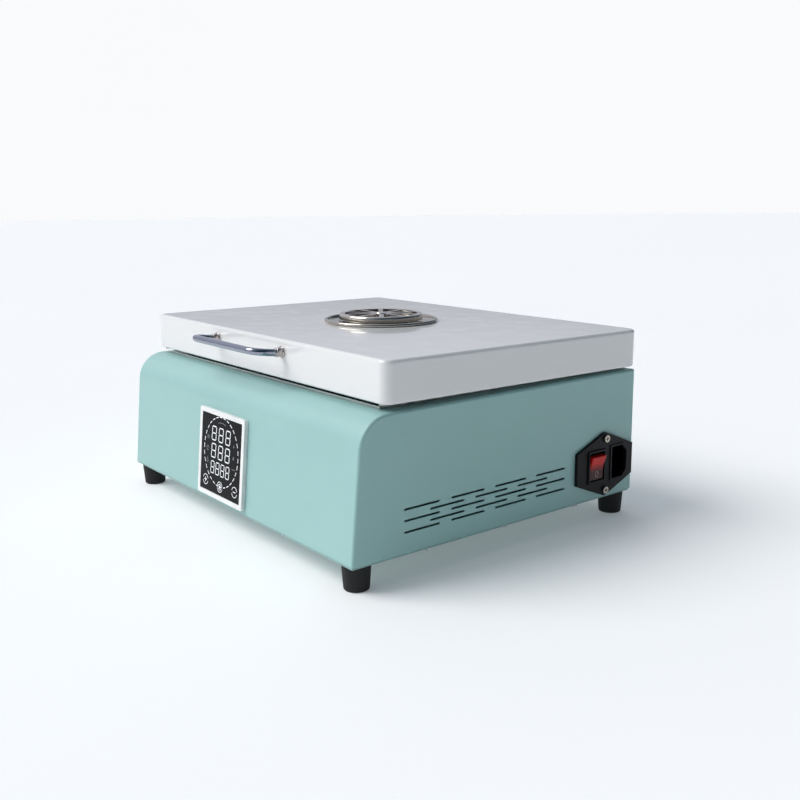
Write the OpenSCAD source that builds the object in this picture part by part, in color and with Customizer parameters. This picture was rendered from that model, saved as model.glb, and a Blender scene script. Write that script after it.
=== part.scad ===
// Bench-top reflow oven: sheet-steel base with a heated plate, and an enamelled lid hinged at the back.
// Millimetres. +X is the right-hand side seen from the front, +Y the back, +Z up.
// The origin is on the floor, under the middle of the whole oven, knobs and hinges included.

/* [Body] */
// Width of the base and of the lid
body_w = 330; // [326:1:340]
// Depth of the base along its bottom edge
body_d = 265; // [264:1:270]
// Height of the base above its feet
body_h = 95.5; // [94:0.5:98]
// Lean of the front panel from the vertical, in degrees
front_lean = 5.7; // [5:0.1:6.5]
// Outer radius of the bend from the front panel to the top
bend_r = 23; // [20:1:24]
// Thickness of the base's sheet steel
sheet_t = 1.2; // [1:0.1:1.4]

/* [Feet] */
// Height of the rubber feet
foot_h = 18; // [14:1:22]
// Diameter of a foot where it meets the base
foot_top_d = 19.5; // [18:0.5:21]
// Diameter of a foot on the floor
foot_floor_d = 17; // [15:0.5:18]

/* [Lid] */
// Height of the lid
lid_h = 28.4; // [28:0.2:30]
// Depth of the lid
lid_d = 240.5; // [239:0.5:242]
// Setback of the lid behind the base's front bottom edge
lid_front = 27.7; // [27:0.1:29]
// Gap between the base's top and the lid's lower edge, at the hinges
lid_gap = 2.2; // [2.2:0.1:2.6]
// Angle by which the seal holds the lid's front up, in degrees
lid_tilt = 0.6; // [0.5:0.1:0.8]
// Radius of the lid's upright corners
lid_corner_r = 7; // [5:0.5:8]
// Thickness of the lid's sheet steel
lid_t = 1; // [0.8:0.1:1.2]

/* [Heated plate] */
// Width of the heated plate
plate_w = 200; // [190:1:200]
// Depth of the heated plate
plate_d = 160; // [150:1:160]
// Thickness of the heated plate
plate_t = 12; // [12:0.5:13]

/* [Vent] */
// Outer diameter of the vent's fixed flange
vent_d = 92; // [88:1:96]
// Diameter of the vent's turning cap
vent_cap_d = 68; // [67:0.5:69]
// Number of openings round the vent
vent_slots = 10; // [8:1:10]

/* [Handle] */
// Distance between the handle's posts
handle_pitch = 96; // [90:1:100]
// Reach of the handle bar's centre line in front of the lid
handle_reach = 25; // [24:1:27]
// Diameter of the handle bar
handle_d = 6; // [5.5:0.1:6.5]

/* [Display] */
// Outer width of the display bezel
bezel_w = 69; // [66:1:72]
// Outer height of the display bezel, along the front panel
bezel_h = 67; // [65:0.5:68]
// Width of the bezel's white border
bezel_border = 3.6; // [3:0.1:4]

/* [Side vents] */
// Length of a vent slot
slot_len = 30; // [26:1:31]
// Width of a vent slot
slot_wid = 1.5; // [1:0.1:2]
// Distance between neighbouring slots in a row
slot_pitch = 39.8; // [38:0.1:40]

/* [Hidden] */
$fn = 48;

// Slack that lets one piece pass another
slack = 0.2;
// Radial clearance of a shaft that turns in its bore
running = 0.05;

// Display, in the plane of the front panel
display_x = -5.5;
display_low = 4;
bezel_t = 3;
glass_w = bezel_w - 2 * bezel_border;
glass_h = bezel_h - 2 * bezel_border;

// Rocker of the mains switch: half its length, its rise over the pivot, and its tilt from level
rocker_half = 9.5;
rocker_rise = 6.2;
rocker_tilt = 10;
rocker_pivot = -1.5;

// Middle of the whole oven: between the plain left wall and the rocker's raised end,
// and between the bezel or the handle bar and the hinge knuckles
knuckle_r = 3.9;
hinge_y = body_d + 4.2;
hinge_z = body_h - 2.1;
bezel_front = display_low * sin(front_lean) - bezel_t * cos(front_lean);
whole_front = min(bezel_front, lid_front - handle_reach - handle_d / 2);
mid_x = (rocker_pivot + rocker_half * sin(rocker_tilt) + rocker_rise * cos(rocker_tilt)) / 2;
mid_y = (whole_front + hinge_y + knuckle_r) / 2;

// Base
bend_z = body_h - bend_r;
bend_y = (bend_r + sin(front_lean) * bend_z) / cos(front_lean);
shell_low = sheet_t;
wall_x = body_w / 2 - sheet_t;
rear_in = body_d - sheet_t;
lip_w = 5.5;
lip_x = wall_x - lip_w;
foot_x = body_w / 2 - 11.7;
foot_ys = [11.4, body_d - 9];
side_screw_ys = [60, 132, 205];
front_screw_xs = [-80, 80];
m3_r = 1.5;
m4_r = 2;

// Lid
lid_z = body_h + lid_gap;
lid_top = lid_z + lid_h;
lid_mid_y = lid_front + lid_d / 2;
lid_rear = lid_front + lid_d;
lid_lip = 8;

// Heated chamber, centred under the lid
chamber_y = lid_mid_y;
plate_top = body_h - 1;
plate_low = plate_top - plate_t;
plate_gap = 2.5;
trim_lip_t = 1;
opening_w = plate_w + 2 * plate_gap + 2 * trim_lip_t + 2;
opening_d = plate_d + 2 * plate_gap + 2 * trim_lip_t + 2;
trim_w = 304;
trim_d = 230;
trim_t = 1.2;
trim_rim = 1.8;
trim_screw_x = 116;
trim_screw_y = 96;
shield_w = 222;
shield_d = 182;
shield_t = 1;
shield_floor = body_h - sheet_t - 34;
standoff_x = 52;
standoff_y = 62;
standoff_r = 4;
rod_r = 4;
rod_xs = [-75, -25, 25, 75];
liner_w = 252;
liner_d = 176;
liner_t = 0.8;
liner_top = lid_z + 20.3;
liner_flange_z = lid_z + lid_t;
liner_flange_w = body_w - 2 * lid_t - 0.6;
liner_flange_d = lid_d - 2 * lid_t - 0.6;
fold_slit = 0.3;
wall_rise = liner_top - liner_t - liner_flange_z;
liner_screw_x = body_w / 2 - 9.5;
liner_screw_y = lid_d / 2 - lid_t - lid_lip / 2;
gasket_w = 8;
gasket_x = 130;
gasket_y = 103.5;

// Inlet
inlet_y = 232;
inlet_z = 27;
inlet_w = 62;
inlet_h = 48.5;
inlet_t = 2.6;
inlet_screw_z = 20;
inlet_neck_w = 46;
inlet_neck_h = 27;
inlet_neck_deep = 26;
socket_y = 15;
socket_w = 16.6;
socket_h = 24.6;
socket_deep = 17.5;
pin_places = [[socket_y - 2, -7], [socket_y - 2, 7], [socket_y + 2, 0]];
rocker_y = -10;
rocker_w = 15;
rocker_h = 21;
rocker_bore_r = 1.5;

// Handle and vent
handle_x = -4;
handle_z = lid_z + 19.5;
ferrule_l = 8.6;
vent_x = 0;
vent_r = vent_d / 2;
cap_r = vent_cap_d / 2;
duct_r = 30;
pivot_r = 2.5;
vent_gap = 0.3;
vent_sheet = 0.8;
cap_z = lid_top + 2.6;
cap_h = 4.2;
hub_drop = cap_z - lid_top - 2 * vent_sheet - vent_gap;

// Wiring, all in one plane; the terminal block's poles stand in a row towards the back
wire_z = 28;
pole_ys = [168.7, 176.1, 183.5];
inlet_back = body_w / 2 - inlet_neck_deep;

// Fan on the back
fan_x = 0;
fan_z = 50;
fan_w = 60;
fan_deep = 15;
fan_pitch = 50;
fan_y = rear_in - fan_deep;

// Hinges
hinge_xs = [-105, 105];
hinge_w = 44;
knuckle_w = 14.4;
mid_knuckle_w = hinge_w - 2 * knuckle_w - 0.6;
pin_r = 1.75;
leaf_t = 1.5;
leaf_screw_x = 15;

// ---- Shared shapes ----

// Moves a shape from the base's own corner to the oven's frame
module placed() {
  translate([-mid_x, -mid_y, foot_h]) children();
}

// Moves a shape into the plane of the front panel: X across, Y up the slope, Z out of the panel
module on_front() {
  placed() rotate([90 - front_lean, 0, 0]) children();
}

// Moves a shape onto the right-hand wall: X towards the back, Y up, Z out of the wall
module on_right() {
  placed() translate([body_w / 2, 0, 0]) rotate([90, 0, 90]) children();
}

// Moves a shape drawn on a level lid into the lid's place, turned a little about the hinge pins
module on_level_lid() {
  placed() translate([0, hinge_y, hinge_z]) rotate([-lid_tilt, 0, 0])
    translate([0, -hinge_y, -hinge_z]) children();
}

module centred_x(width) {
  translate([-width / 2, 0, 0]) rotate([90, 0, 90]) linear_extrude(width) children();
}

module plate(width, depth, low, thick) {
  translate([-width / 2, chamber_y - depth / 2, low]) cube([width, depth, thick]);
}

module both_sides() {
  for (side = [0, 1]) mirror([side, 0, 0]) children();
}

module rounded_rect(width, height, r) {
  square([width, height - 2 * r], center = true);
  square([width - 2 * r, height], center = true);
  for (x = [-1, 1], y = [-1, 1])
    translate([x * (width / 2 - r), y * (height / 2 - r)]) circle(r);
}

module slot_2d(length, width) {
  square([length - width, width], center = true);
  for (x = [-1, 1]) translate([x * (length - width) / 2, 0]) circle(width / 2, $fn = 24);
}

// Copies a shape to the four corners of a rectangle with its middle at the origin
module at_corners(x, y) {
  for (along = [-1, 1], up = [-1, 1]) translate([along * x, up * y, 0]) children();
}

module hole(r, length) {
  cylinder(r = r, h = length, center = true);
}

// Pan-head screw with a cross recess, its head's underside at z = 0 and its shank below
module screw(r, head_r, head_t, length) {
  difference() {
    union() {
      cylinder(r = head_r, h = head_t);
      translate([0, 0, -length]) cylinder(r = r, h = length + 0.1);
    }
    for (turn = [0, 90])
      rotate([0, 0, turn]) translate([-head_r * 0.6, -head_r * 0.14, head_t * 0.4])
        cube([head_r * 1.2, head_r * 0.28, head_t]);
  }
}

module hex_nut(r, across, thick) {
  difference() {
    cylinder(r = across / 2 / cos(30), h = thick, $fn = 6);
    translate([0, 0, thick / 2]) hole(r + running, thick + 2);
  }
}

// Round bar through points in the XY plane, with a quarter bend at each corner
module round_bar(points, r, bend) {
  last = len(points) - 1;
  for (i = [0:last - 1]) {
    run = points[i + 1] - points[i];
    way = run / norm(run);
    from = i == 0 ? 0 : bend;
    to = i == last - 1 ? 0 : bend;
    translate(points[i] + way * from) rotate([0, 90, atan2(way[1], way[0])])
      cylinder(r = r, h = norm(run) - from - to);
  }
  for (i = [1:1:last - 1]) {
    before = (points[i] - points[i - 1]) / norm(points[i] - points[i - 1]);
    after = (points[i + 1] - points[i]) / norm(points[i + 1] - points[i]);
    start = cross(before, after) > 0 ? atan2(-after[1], -after[0]) : atan2(before[1], before[0]);
    translate(points[i] + (after - before) * bend) rotate([0, 0, start])
      rotate_extrude(angle = 90) translate([bend, 0]) circle(r);
  }
}

// ---- Base: sheet metal ----

module side_profile(inset, rear, low) {
  shift = inset / cos(front_lean);
  r = bend_r - inset;
  polygon([
    [low * tan(front_lean) + shift, low],
    [rear, low],
    [rear, body_h - inset],
    [bend_y, body_h - inset],
    [bend_y, bend_z],
    [bend_y - r * cos(front_lean), bend_z + r * sin(front_lean)]
  ]);
  translate([bend_y, bend_z]) circle(r, $fn = 96);
}

// Staggered rows of vent slots, as one flat pattern with X towards the back and Y up
module vent_slots_2d() {
  for (row = [0:4]) {
    count = row % 2 == 0 ? 4 : 3;
    start = row % 2 == 0 ? 41.3 : 62.8;
    for (i = [0:count - 1])
      translate([start + slot_len / 2 + i * slot_pitch, 30.9 - row * 3.85]) slot_2d(slot_len, slot_wid);
  }
}

module inlet_outline(grow) {
  half_w = inlet_w / 2 + grow;
  half_h = inlet_h / 2 + grow;
  flat = 12 + grow * 0.5;
  polygon([
    [-half_w, -flat], [-1.5, -half_h], [1.5, -half_h], [half_w, -flat],
    [half_w, flat], [1.5, half_h], [-1.5, half_h], [-half_w, flat]
  ]);
}

module body_shell() color("#a9d0cf") placed() difference() {
  union() {
    difference() {
      centred_x(body_w) side_profile(0, rear_in, shell_low);
      centred_x(body_w - 2 * sheet_t) side_profile(sheet_t, body_d, -1);
    }
    // Lips turned in along the bottom and the back
    both_sides() {
      translate([lip_x, 25, shell_low]) cube([lip_w + 0.5, rear_in - 45, sheet_t]);
      translate([wall_x - 9, rear_in - sheet_t, 14]) cube([9.5, sheet_t, body_h - 16]);
    }
    translate([-120, 1, shell_low]) cube([240, 7, sheet_t]);
  }
  // Opening for the heated plate
  translate([-opening_w / 2, chamber_y - opening_d / 2, body_h - 5]) cube([opening_w, opening_d, 10]);
  at_trim_screws() hole(m3_r + slack, 10);
  // Vent slots on both sides
  both_sides() translate([body_w / 2 - 5, 0, 0]) rotate([90, 0, 90]) linear_extrude(10) vent_slots_2d();
  // Cut-out and screw holes for the inlet
  translate([body_w / 2 - 5, inlet_y - inlet_neck_w / 2 - slack, inlet_z - inlet_neck_h / 2 - slack])
    cube([10, inlet_neck_w + 2 * slack, inlet_neck_h + 2 * slack]);
  for (z = [-1, 1])
    translate([body_w / 2, inlet_y, inlet_z + z * inlet_screw_z]) rotate([0, 90, 0]) hole(m3_r + slack, 10);
  // Window for the display's plug-in neck, and holes for its studs
  rotate([90 - front_lean, 0, 0]) translate([display_x, display_low + bezel_h / 2, 0]) {
    cube([glass_w - 6, glass_h - 6, 20], center = true);
    at_corners(bezel_w / 2 - 3, bezel_h / 2 - 3) hole(1.2, 20);
  }
  for (y = side_screw_ys) both_sides() translate([lip_x + 2.7, y, 0]) hole(m3_r + slack, 10);
  for (x = front_screw_xs) translate([x, 4.6, 0]) hole(m3_r + slack, 10);
  rear_screw_places() hole(m3_r + slack, 10);
}

module bottom_pan() color("#93b8b8") placed() difference() {
  translate([-body_w / 2 + 0.6, 0.6, 0]) cube([body_w - 1.2, rear_in - 0.6, sheet_t]);
  for (x = [-1, 1], y = foot_ys) translate([x * foot_x, y, 0]) hole(m4_r + slack, 10);
  for (y = side_screw_ys) both_sides() translate([lip_x + 2.7, y, 0]) hole(m3_r + slack, 10);
  for (x = front_screw_xs) translate([x, 4.6, 0]) hole(m3_r + slack, 10);
  // Rows of air slots in the floor, clear of the electrics
  for (x = [-120:12:-60], y = [170, 200]) translate([x, y, -1]) linear_extrude(5) rotate(90) slot_2d(22, 3);
  for (x = [-1, 1], y = [-1, 1]) translate([-92 + x * 42, 100 + y * 32, 0]) hole(m3_r + slack, 10);
  for (x = [-1, 1]) translate([62 + x * 28, 95, 0]) hole(m3_r + slack, 10);
  translate([118, 205, 0]) hole(m4_r + slack, 10);
}

module rear_panel() color("#a9d0cf") placed() difference() {
  union() {
    translate([-body_w / 2, rear_in, shell_low]) cube([body_w, sheet_t, body_h - shell_low]);
    translate([-body_w / 2 + 30, rear_in - 12, shell_low]) cube([body_w - 60, 12.5, sheet_t]);
  }
  // Grille of curved rows for the fan
  translate([fan_x, rear_in, fan_z]) rotate([90, 0, 0]) {
    for (ring = [8.5, 14, 19.5, 25], arm = [0:5]) rotate([0, 0, arm * 60]) grille_arc(ring, 24 + ring * 0.7);
    at_corners(fan_pitch / 2, fan_pitch / 2) hole(m3_r + slack, 10);
  }
  rear_screw_places() hole(m3_r + slack, 10);
  for (x = hinge_xs, side = [-1, 1])
    translate([x + side * leaf_screw_x, rear_in, hinge_z - 16]) rotate([90, 0, 0]) hole(m3_r + slack, 10);
}

// Places of the screws that hold the back, with Z out of the back
module rear_screw_places() {
  both_sides() for (z = [24, 58, 88]) translate([wall_x - 4.5, body_d, z]) rotate([-90, 0, 0]) children();
}

// One curved slot of the fan grille: a sector of a narrow ring
module grille_arc(r, sweep) {
  translate([0, 0, -5]) rotate([0, 0, -sweep / 2])
    rotate_extrude(angle = sweep) translate([r - 1.4, 0]) square([2.8, 10]);
}

module feet() color("#1b1b1c") placed() for (x = [-1, 1], y = foot_ys) translate([x * foot_x, y, -foot_h])
  difference() {
    cylinder(r1 = foot_floor_d / 2, r2 = foot_top_d / 2, h = foot_h);
    translate([0, 0, -1]) cylinder(r = 4.6, h = foot_h - 4);
    cylinder(r = m4_r + slack, h = foot_h + 1);
  }

module foot_screws() color("#9a9c9f") placed() for (x = [-1, 1], y = foot_ys) translate([x * foot_x, y, -5])
  mirror([0, 0, 1]) screw(m4_r, 3.9, 2.4, 13);

module foot_nuts() color("#9a9c9f") placed() for (x = [-1, 1], y = foot_ys)
  translate([x * foot_x, y, sheet_t]) hex_nut(m4_r, 7, 3.2);

module shell_screws() color("#9a9c9f") placed() mirror([0, 0, 1]) {
  for (y = side_screw_ys) both_sides() translate([lip_x + 2.7, y, 0]) screw(m3_r, 2.7, 1.6, 7);
  for (x = front_screw_xs) translate([x, 4.6, 0]) screw(m3_r, 2.7, 1.6, 7);
}

module rear_screws() color("#9a9c9f") placed() rear_screw_places() screw(m3_r, 2.7, 1.6, 6);

// ---- Base: display ----

module on_display() {
  on_front() translate([display_x, display_low + bezel_h / 2, 0]) children();
}

module display_bezel() color("#f1f1ee") on_display() {
  difference() {
    linear_extrude(bezel_t) difference() {
      rounded_rect(bezel_w, bezel_h, 1.6);
      square([glass_w - 3, glass_h - 3], center = true);
    }
    translate([0, 0, 1.2]) linear_extrude(bezel_t) square([glass_w, glass_h], center = true);
  }
  translate([0, 0, -4]) at_corners(bezel_w / 2 - 3, bezel_h / 2 - 3) cylinder(r = 1, h = 4.5);
}

module touch_glass() color("#0d0e10") on_display() translate([0, 0, 1.2]) linear_extrude(1.5)
  square([glass_w - 0.2, glass_h - 0.2], center = true);

// Circuit board with the digit modules that shine through the glass
module display_board() color("#1f5a3a") on_display() {
  translate([0, 0, -7.2]) linear_extrude(1.6) square([glass_w - 8, glass_h - 8], center = true);
  for (row = [0:2]) translate([-15, 13 - row * 14, -5.6]) cube([30, 11, 5.2]);
  translate([-8, -16, -9.7]) cube([16, 8, 2.5]);
}

// Flat ribbon from the display board down to the control board
module display_ribbon() color("#8b8d90") placed() {
  translate([display_x - 7, 14.2, 20.6]) cube([14, 34, 0.8]);
  translate([display_x - 7, 48.2, 8]) cube([14, 0.8, 13.4]);
  translate([display_x - 40, 48.2, 8]) cube([33.5, 14, 0.8]);
}

// ---- Base: inlet and switch ----

module inlet_housing() color("#161617") on_right() translate([inlet_y, inlet_z, 0]) difference() {
  union() {
    linear_extrude(inlet_t) inlet_outline(0);
    translate([-inlet_neck_w / 2, -inlet_neck_h / 2, -inlet_neck_deep])
      cube([inlet_neck_w, inlet_neck_h, inlet_neck_deep + 0.5]);
    // Raised collar round the rocker
    translate([rocker_y, 0, inlet_t / 2]) linear_extrude(inlet_t / 2 + 1.2)
      square([rocker_w + 4, rocker_h + 4], center = true);
    // Rim round the socket
    translate([socket_y, 0, inlet_t / 2]) linear_extrude(inlet_t / 2 + 0.8) socket_outline(1.6);
  }
  translate([socket_y, 0, -socket_deep + inlet_t]) linear_extrude(30) socket_outline(0);
  // Well of the rocker
  translate([rocker_y, 0, -11]) linear_extrude(30) square([rocker_w + 0.8, rocker_h + 0.8], center = true);
  for (z = [-1, 1]) translate([0, z * inlet_screw_z, 0]) hole(m3_r + slack, 20);
  // Slots that hold the blades
  for (place = pin_places) translate([place[0], place[1], -14])
    cube([4 + 2 * running, 2 + 2 * running, 30], center = true);
  // Bearings of the rocker's trunnions
  translate([rocker_y, 0, rocker_pivot]) rotate([0, 90, 0]) hole(rocker_bore_r + running, rocker_w + 6);
}

// Socket opening with two cut corners beside the earth blade
module socket_outline(grow) {
  half_w = socket_w / 2 + grow;
  half_h = socket_h / 2 + grow;
  cut = 5;
  polygon([
    [-half_w, -half_h], [half_w - cut, -half_h], [half_w, -half_h + cut],
    [half_w, half_h - cut], [half_w - cut, half_h], [-half_w, half_h]
  ]);
}

module inlet_pins() color("#c9b37a") on_right() translate([inlet_y, inlet_z, 0]) for (place = pin_places)
  translate([place[0], place[1], -14.5]) cube([4, 2, 28], center = true);

module inlet_screws() color("#8d8f92") on_right() translate([inlet_y, inlet_z, inlet_t]) for (z = [-1, 1])
  translate([0, z * inlet_screw_z, 0]) screw(m3_r, 2.8, 1.7, 10);

// Rocker, tilted so that its lower half is pressed in at rest
module power_rocker() color("#b01010") on_right()
  translate([inlet_y + rocker_y, inlet_z, rocker_pivot]) rotate([rocker_tilt, 0, 0]) {
    centred_x(rocker_w) rocker_profile();
    rotate([0, 90, 0]) cylinder(r = rocker_bore_r, h = rocker_w + 4, center = true);
  }

// The rocker seen from its end when level: a shallow V over its pivot, which is at the origin
module rocker_profile() {
  polygon([
    [-rocker_half, rocker_rise], [0, rocker_rise - 1.3], [rocker_half, rocker_rise], [rocker_half - 0.3, 1],
    [3, -2.8], [-3, -2.8], [-rocker_half + 0.3, 1]
  ]);
}

// ---- Base: heated plate ----

module chamber_trim() color("#d5d8da") placed() difference() {
  union() {
    plate(trim_w, trim_d, body_h, trim_rim);
    plate(opening_w - 2, opening_d - 2, body_h - 7, 7.5);
  }
  plate(trim_w - 5, trim_d - 5, body_h + trim_t, 10);
  plate(opening_w - 2 - 2 * trim_lip_t, opening_d - 2 - 2 * trim_lip_t, body_h - 10, 20);
  at_trim_screws() hole(m3_r + slack, 10);
}

module at_trim_screws() {
  translate([0, chamber_y, body_h]) at_corners(trim_screw_x, trim_screw_y) children();
}

module trim_screws() color("#b4b7ba") placed() translate([0, 0, trim_t]) at_trim_screws() screw(m3_r, 2.8, 1.5, 7);

module heating_plate() color("#8f9194") placed() difference() {
  plate(plate_w, plate_d, plate_low, plate_t);
  for (x = rod_xs) translate([x, chamber_y + 6, plate_low + plate_t / 2]) rotate([90, 0, 0])
    hole(rod_r + running, plate_d);
  translate([0, chamber_y - plate_d / 2, plate_top - 4]) rotate([90, 0, 0]) hole(1.55, 80);
  at_standoffs() translate([0, 0, plate_low]) hole(m4_r + running, 16);
}

module heater_rods() color("#c4c2bd") placed() for (x = rod_xs)
  translate([x, chamber_y + plate_d / 2 + 1, plate_low + plate_t / 2]) rotate([90, 0, 0])
    cylinder(r = rod_r, h = plate_d - 5);

module thermocouple() color("#b9bcc0") placed() translate([0, chamber_y - plate_d / 2 + 36, plate_top - 4])
  rotate([90, 0, 0]) cylinder(r = 1.5, h = 38);

module at_standoffs() {
  translate([0, chamber_y, 0]) at_corners(standoff_x, standoff_y) children();
}

module plate_standoffs() color("#d9d2c2") placed() at_standoffs() {
  translate([0, 0, shield_floor + shield_t]) cylinder(r = standoff_r, h = plate_low - shield_floor - shield_t);
  translate([0, 0, shield_floor - 8]) cylinder(r = m4_r, h = plate_low - shield_floor + 14);
}

module standoff_nuts() color("#9a9c9f") placed() at_standoffs()
  translate([0, 0, shield_floor - 3.2]) hex_nut(m4_r, 7, 3.2);

module insulation_board() color("#e6dfcf") placed() difference() {
  plate(shield_w - 6, shield_d - 6, shield_floor + shield_t, 14);
  at_standoffs() translate([0, 0, shield_floor]) hole(standoff_r + 0.5, 60);
  translate([0, chamber_y, shield_floor]) hole(10, 60);
}

module heat_shield() color("#b9bdc1") placed() difference() {
  union() {
    plate(shield_w, shield_d, shield_floor, body_h - sheet_t - shield_floor);
    plate(shield_w + 22, shield_d + 20, body_h - sheet_t - shield_t, shield_t);
  }
  plate(shield_w - 2 * shield_t, shield_d - 2 * shield_t, shield_floor + shield_t, 100);
  at_standoffs() translate([0, 0, shield_floor]) hole(m4_r + slack, 10);
  at_trim_screws() hole(m3_r + slack, 20);
}

module thermal_cutout() color("#3a3b3d") placed() translate([0, chamber_y, shield_floor]) {
  translate([0, 0, -6]) cylinder(r = 8, h = 6);
  for (x = [-1, 1]) translate([x * 5, 0, -10]) cube([0.8, 6, 8.2], center = true);
}

// ---- Base: electrics ----

module control_board() color("#1f5a3a") placed() {
  translate([-92 - 50, 100 - 40, 9.2]) difference() {
    cube([100, 80, 1.6]);
    for (x = [8, 92], y = [8, 72]) translate([x, y, 0]) hole(m3_r + slack, 10);
  }
  translate([-130, 112, 10.8]) cube([32, 22, 20]);
  for (i = [0:2]) translate([-78 + i * 12, 126, 10.8]) cylinder(r = 4.5, h = 14);
  translate([-92, 74, 10.8]) cube([14, 14, 2]);
  translate([-68, 74, 10.8]) cube([12, 28, 9]);
}

module board_spacers() color("#b08d46") placed() for (x = [-1, 1], y = [-1, 1])
  translate([-92 + x * 42, 100 + y * 32, sheet_t]) difference() {
    cylinder(r = 3, h = 8, $fn = 6);
    hole(m3_r + running, 40);
  }

module relay_heatsink() color("#a7aaad") placed() translate([62 - 35, 80, sheet_t]) difference() {
  cube([70, 80, 20]);
  for (i = [0:5]) translate([4 + i * 11.2, 26, 5]) cube([7, 100, 30]);
  for (x = [7, 63]) translate([x, 15, 0]) hole(m3_r + slack, 12);
  translate([-1, 7, 5]) cube([17, 16, 30]);
  translate([54, 7, 5]) cube([17, 16, 30]);
}

module solid_state_relay() color("#dcdcd6") placed() translate([62 - 18, 84, sheet_t + 20.05]) {
  cube([36, 60, 4]);
  translate([2, 2, 4]) cube([32, 56, 14]);
}

module terminal_block() color("#2b2c2e") placed() difference() {
  translate([100, pole_ys[0] - 5.7, sheet_t]) cube([22, 26, wire_z + 3]);
  for (y = pole_ys) translate([99, y - 2.7, wire_z + 1.2]) cube([24, 5.4, 10]);
}

module earth_stud() color("#c2a24c") placed() translate([118, 205, 0]) {
  translate([0, 0, -2.4]) cylinder(r = 3.9, h = 2.4, $fn = 6);
  translate([0, 0, -0.5]) cylinder(r = m4_r, h = 16);
}

// Screws that hold the board spacers, the board and the heat sink
module inner_screws() color("#9a9c9f") placed() {
  for (x = [-1, 1], y = [-1, 1]) translate([-92 + x * 42, 100 + y * 32, 0]) {
    mirror([0, 0, 1]) screw(m3_r, 2.7, 1.6, 4);
    translate([0, 0, sheet_t + 9.6]) screw(m3_r, 2.7, 1.6, 5);
  }
  for (x = [-1, 1]) translate([62 + x * 28, 95, 0]) mirror([0, 0, 1]) screw(m3_r, 2.7, 1.6, 6);
}

// The inlet's three wires to the terminal block, one wire on to the relay and one to the control board
module wiring() color("#b3531f") placed() translate([0, 0, wire_z]) {
  for (i = [0:2])
    round_bar([[inlet_back, 226 + i * 6], [136 - i * 4, 226 + i * 6], [136 - i * 4, pole_ys[i]],
               [122, pole_ys[i]]], 1.2, 3);
  round_bar([[100, pole_ys[0]], [62, pole_ys[0]], [62, 144]], 1.2, 3);
  round_bar([[100, pole_ys[1]], [-114, pole_ys[1]], [-114, 134]], 1.2, 3);
}

// ---- Base: cooling fan ----

// Moves a shape to the fan: its axis along Z, its open side towards the back
module on_fan() {
  placed() translate([fan_x, fan_y, fan_z]) rotate([-90, 0, 0]) children();
}

module fan_frame() color("#1d1d1f") on_fan() difference() {
  union() {
    difference() {
      linear_extrude(fan_deep) rounded_rect(fan_w, fan_w, 4);
      translate([0, 0, -1]) cylinder(r = 28.4, h = 30);
    }
    cylinder(r = 9, h = 2.4);
    for (arm = [45:90:315]) rotate([0, 0, arm]) translate([7, -1.5, 0]) cube([22.5, 3, 2.4]);
    cylinder(r = 3.4, h = 8);
  }
  hole(1.5 + running, 40);
  at_corners(fan_pitch / 2, fan_pitch / 2) hole(m3_r + slack, 60);
}

module fan_rotor() color("#2a2a2c") on_fan() {
  difference() {
    translate([0, 0, 3.2]) cylinder(r = 11, h = 10.8);
    translate([0, 0, 2]) cylinder(r = 9.4, h = 10);
  }
  translate([0, 0, 1]) cylinder(r = 1.5, h = 12);
  intersection() {
    for (arm = [0:6]) rotate([0, 0, arm * 360 / 7]) translate([10.4, 0, 8.6]) rotate([38, 0, 0])
      translate([0, -6.5, -0.6]) cube([20, 13, 1.2]);
    difference() {
      translate([0, 0, 3.2]) cylinder(r = 27.4, h = 10.8);
      translate([0, 0, 3]) cylinder(r = 10.6, h = 12);
    }
  }
}

module fan_screws() color("#9a9c9f") placed() translate([fan_x, body_d, fan_z]) rotate([-90, 0, 0])
  at_corners(fan_pitch / 2, fan_pitch / 2) screw(m3_r, 2.7, 1.6, 20);

// ---- Lid ----

module on_lid(z) {
  on_level_lid() translate([0, lid_mid_y, z]) children();
}

module lid_shell() color("#e9e9e7") on_lid(lid_z) difference() {
  linear_extrude(lid_h) rounded_rect(body_w, lid_d, lid_corner_r);
  translate([0, 0, lid_t]) linear_extrude(lid_h - 2 * lid_t)
    rounded_rect(body_w - 2 * lid_t, lid_d - 2 * lid_t, lid_corner_r - lid_t);
  translate([0, 0, -1]) linear_extrude(lid_h - 5)
    square([body_w - 2 * lid_t - 2 * lid_lip, lid_d - 2 * lid_t - 2 * lid_lip], center = true);
  translate([vent_x, 0, lid_h]) hole(duct_r + slack, 10);
  for (x = [-1, 1]) translate([handle_x + x * handle_pitch / 2, -lid_d / 2, handle_z - lid_z])
    rotate([90, 0, 0]) hole(m4_r + slack, 8);
  for (x = hinge_xs, side = [-1, 1]) translate([x + side * leaf_screw_x, lid_d / 2, 14])
    rotate([90, 0, 0]) hole(m3_r + slack, 8);
  at_corners(liner_screw_x, liner_screw_y) hole(m3_r + slack, 4);
}

// Roof of the oven space inside the lid, with the duct's hole
module liner_roof() color("#c9ccce") on_lid(liner_top - liner_t) difference() {
  linear_extrude(liner_t) square([liner_w + 2 * liner_t, liner_d + 2 * liner_t], center = true);
  translate([vent_x, 0, 0]) hole(duct_r + slack, 10);
}

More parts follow.
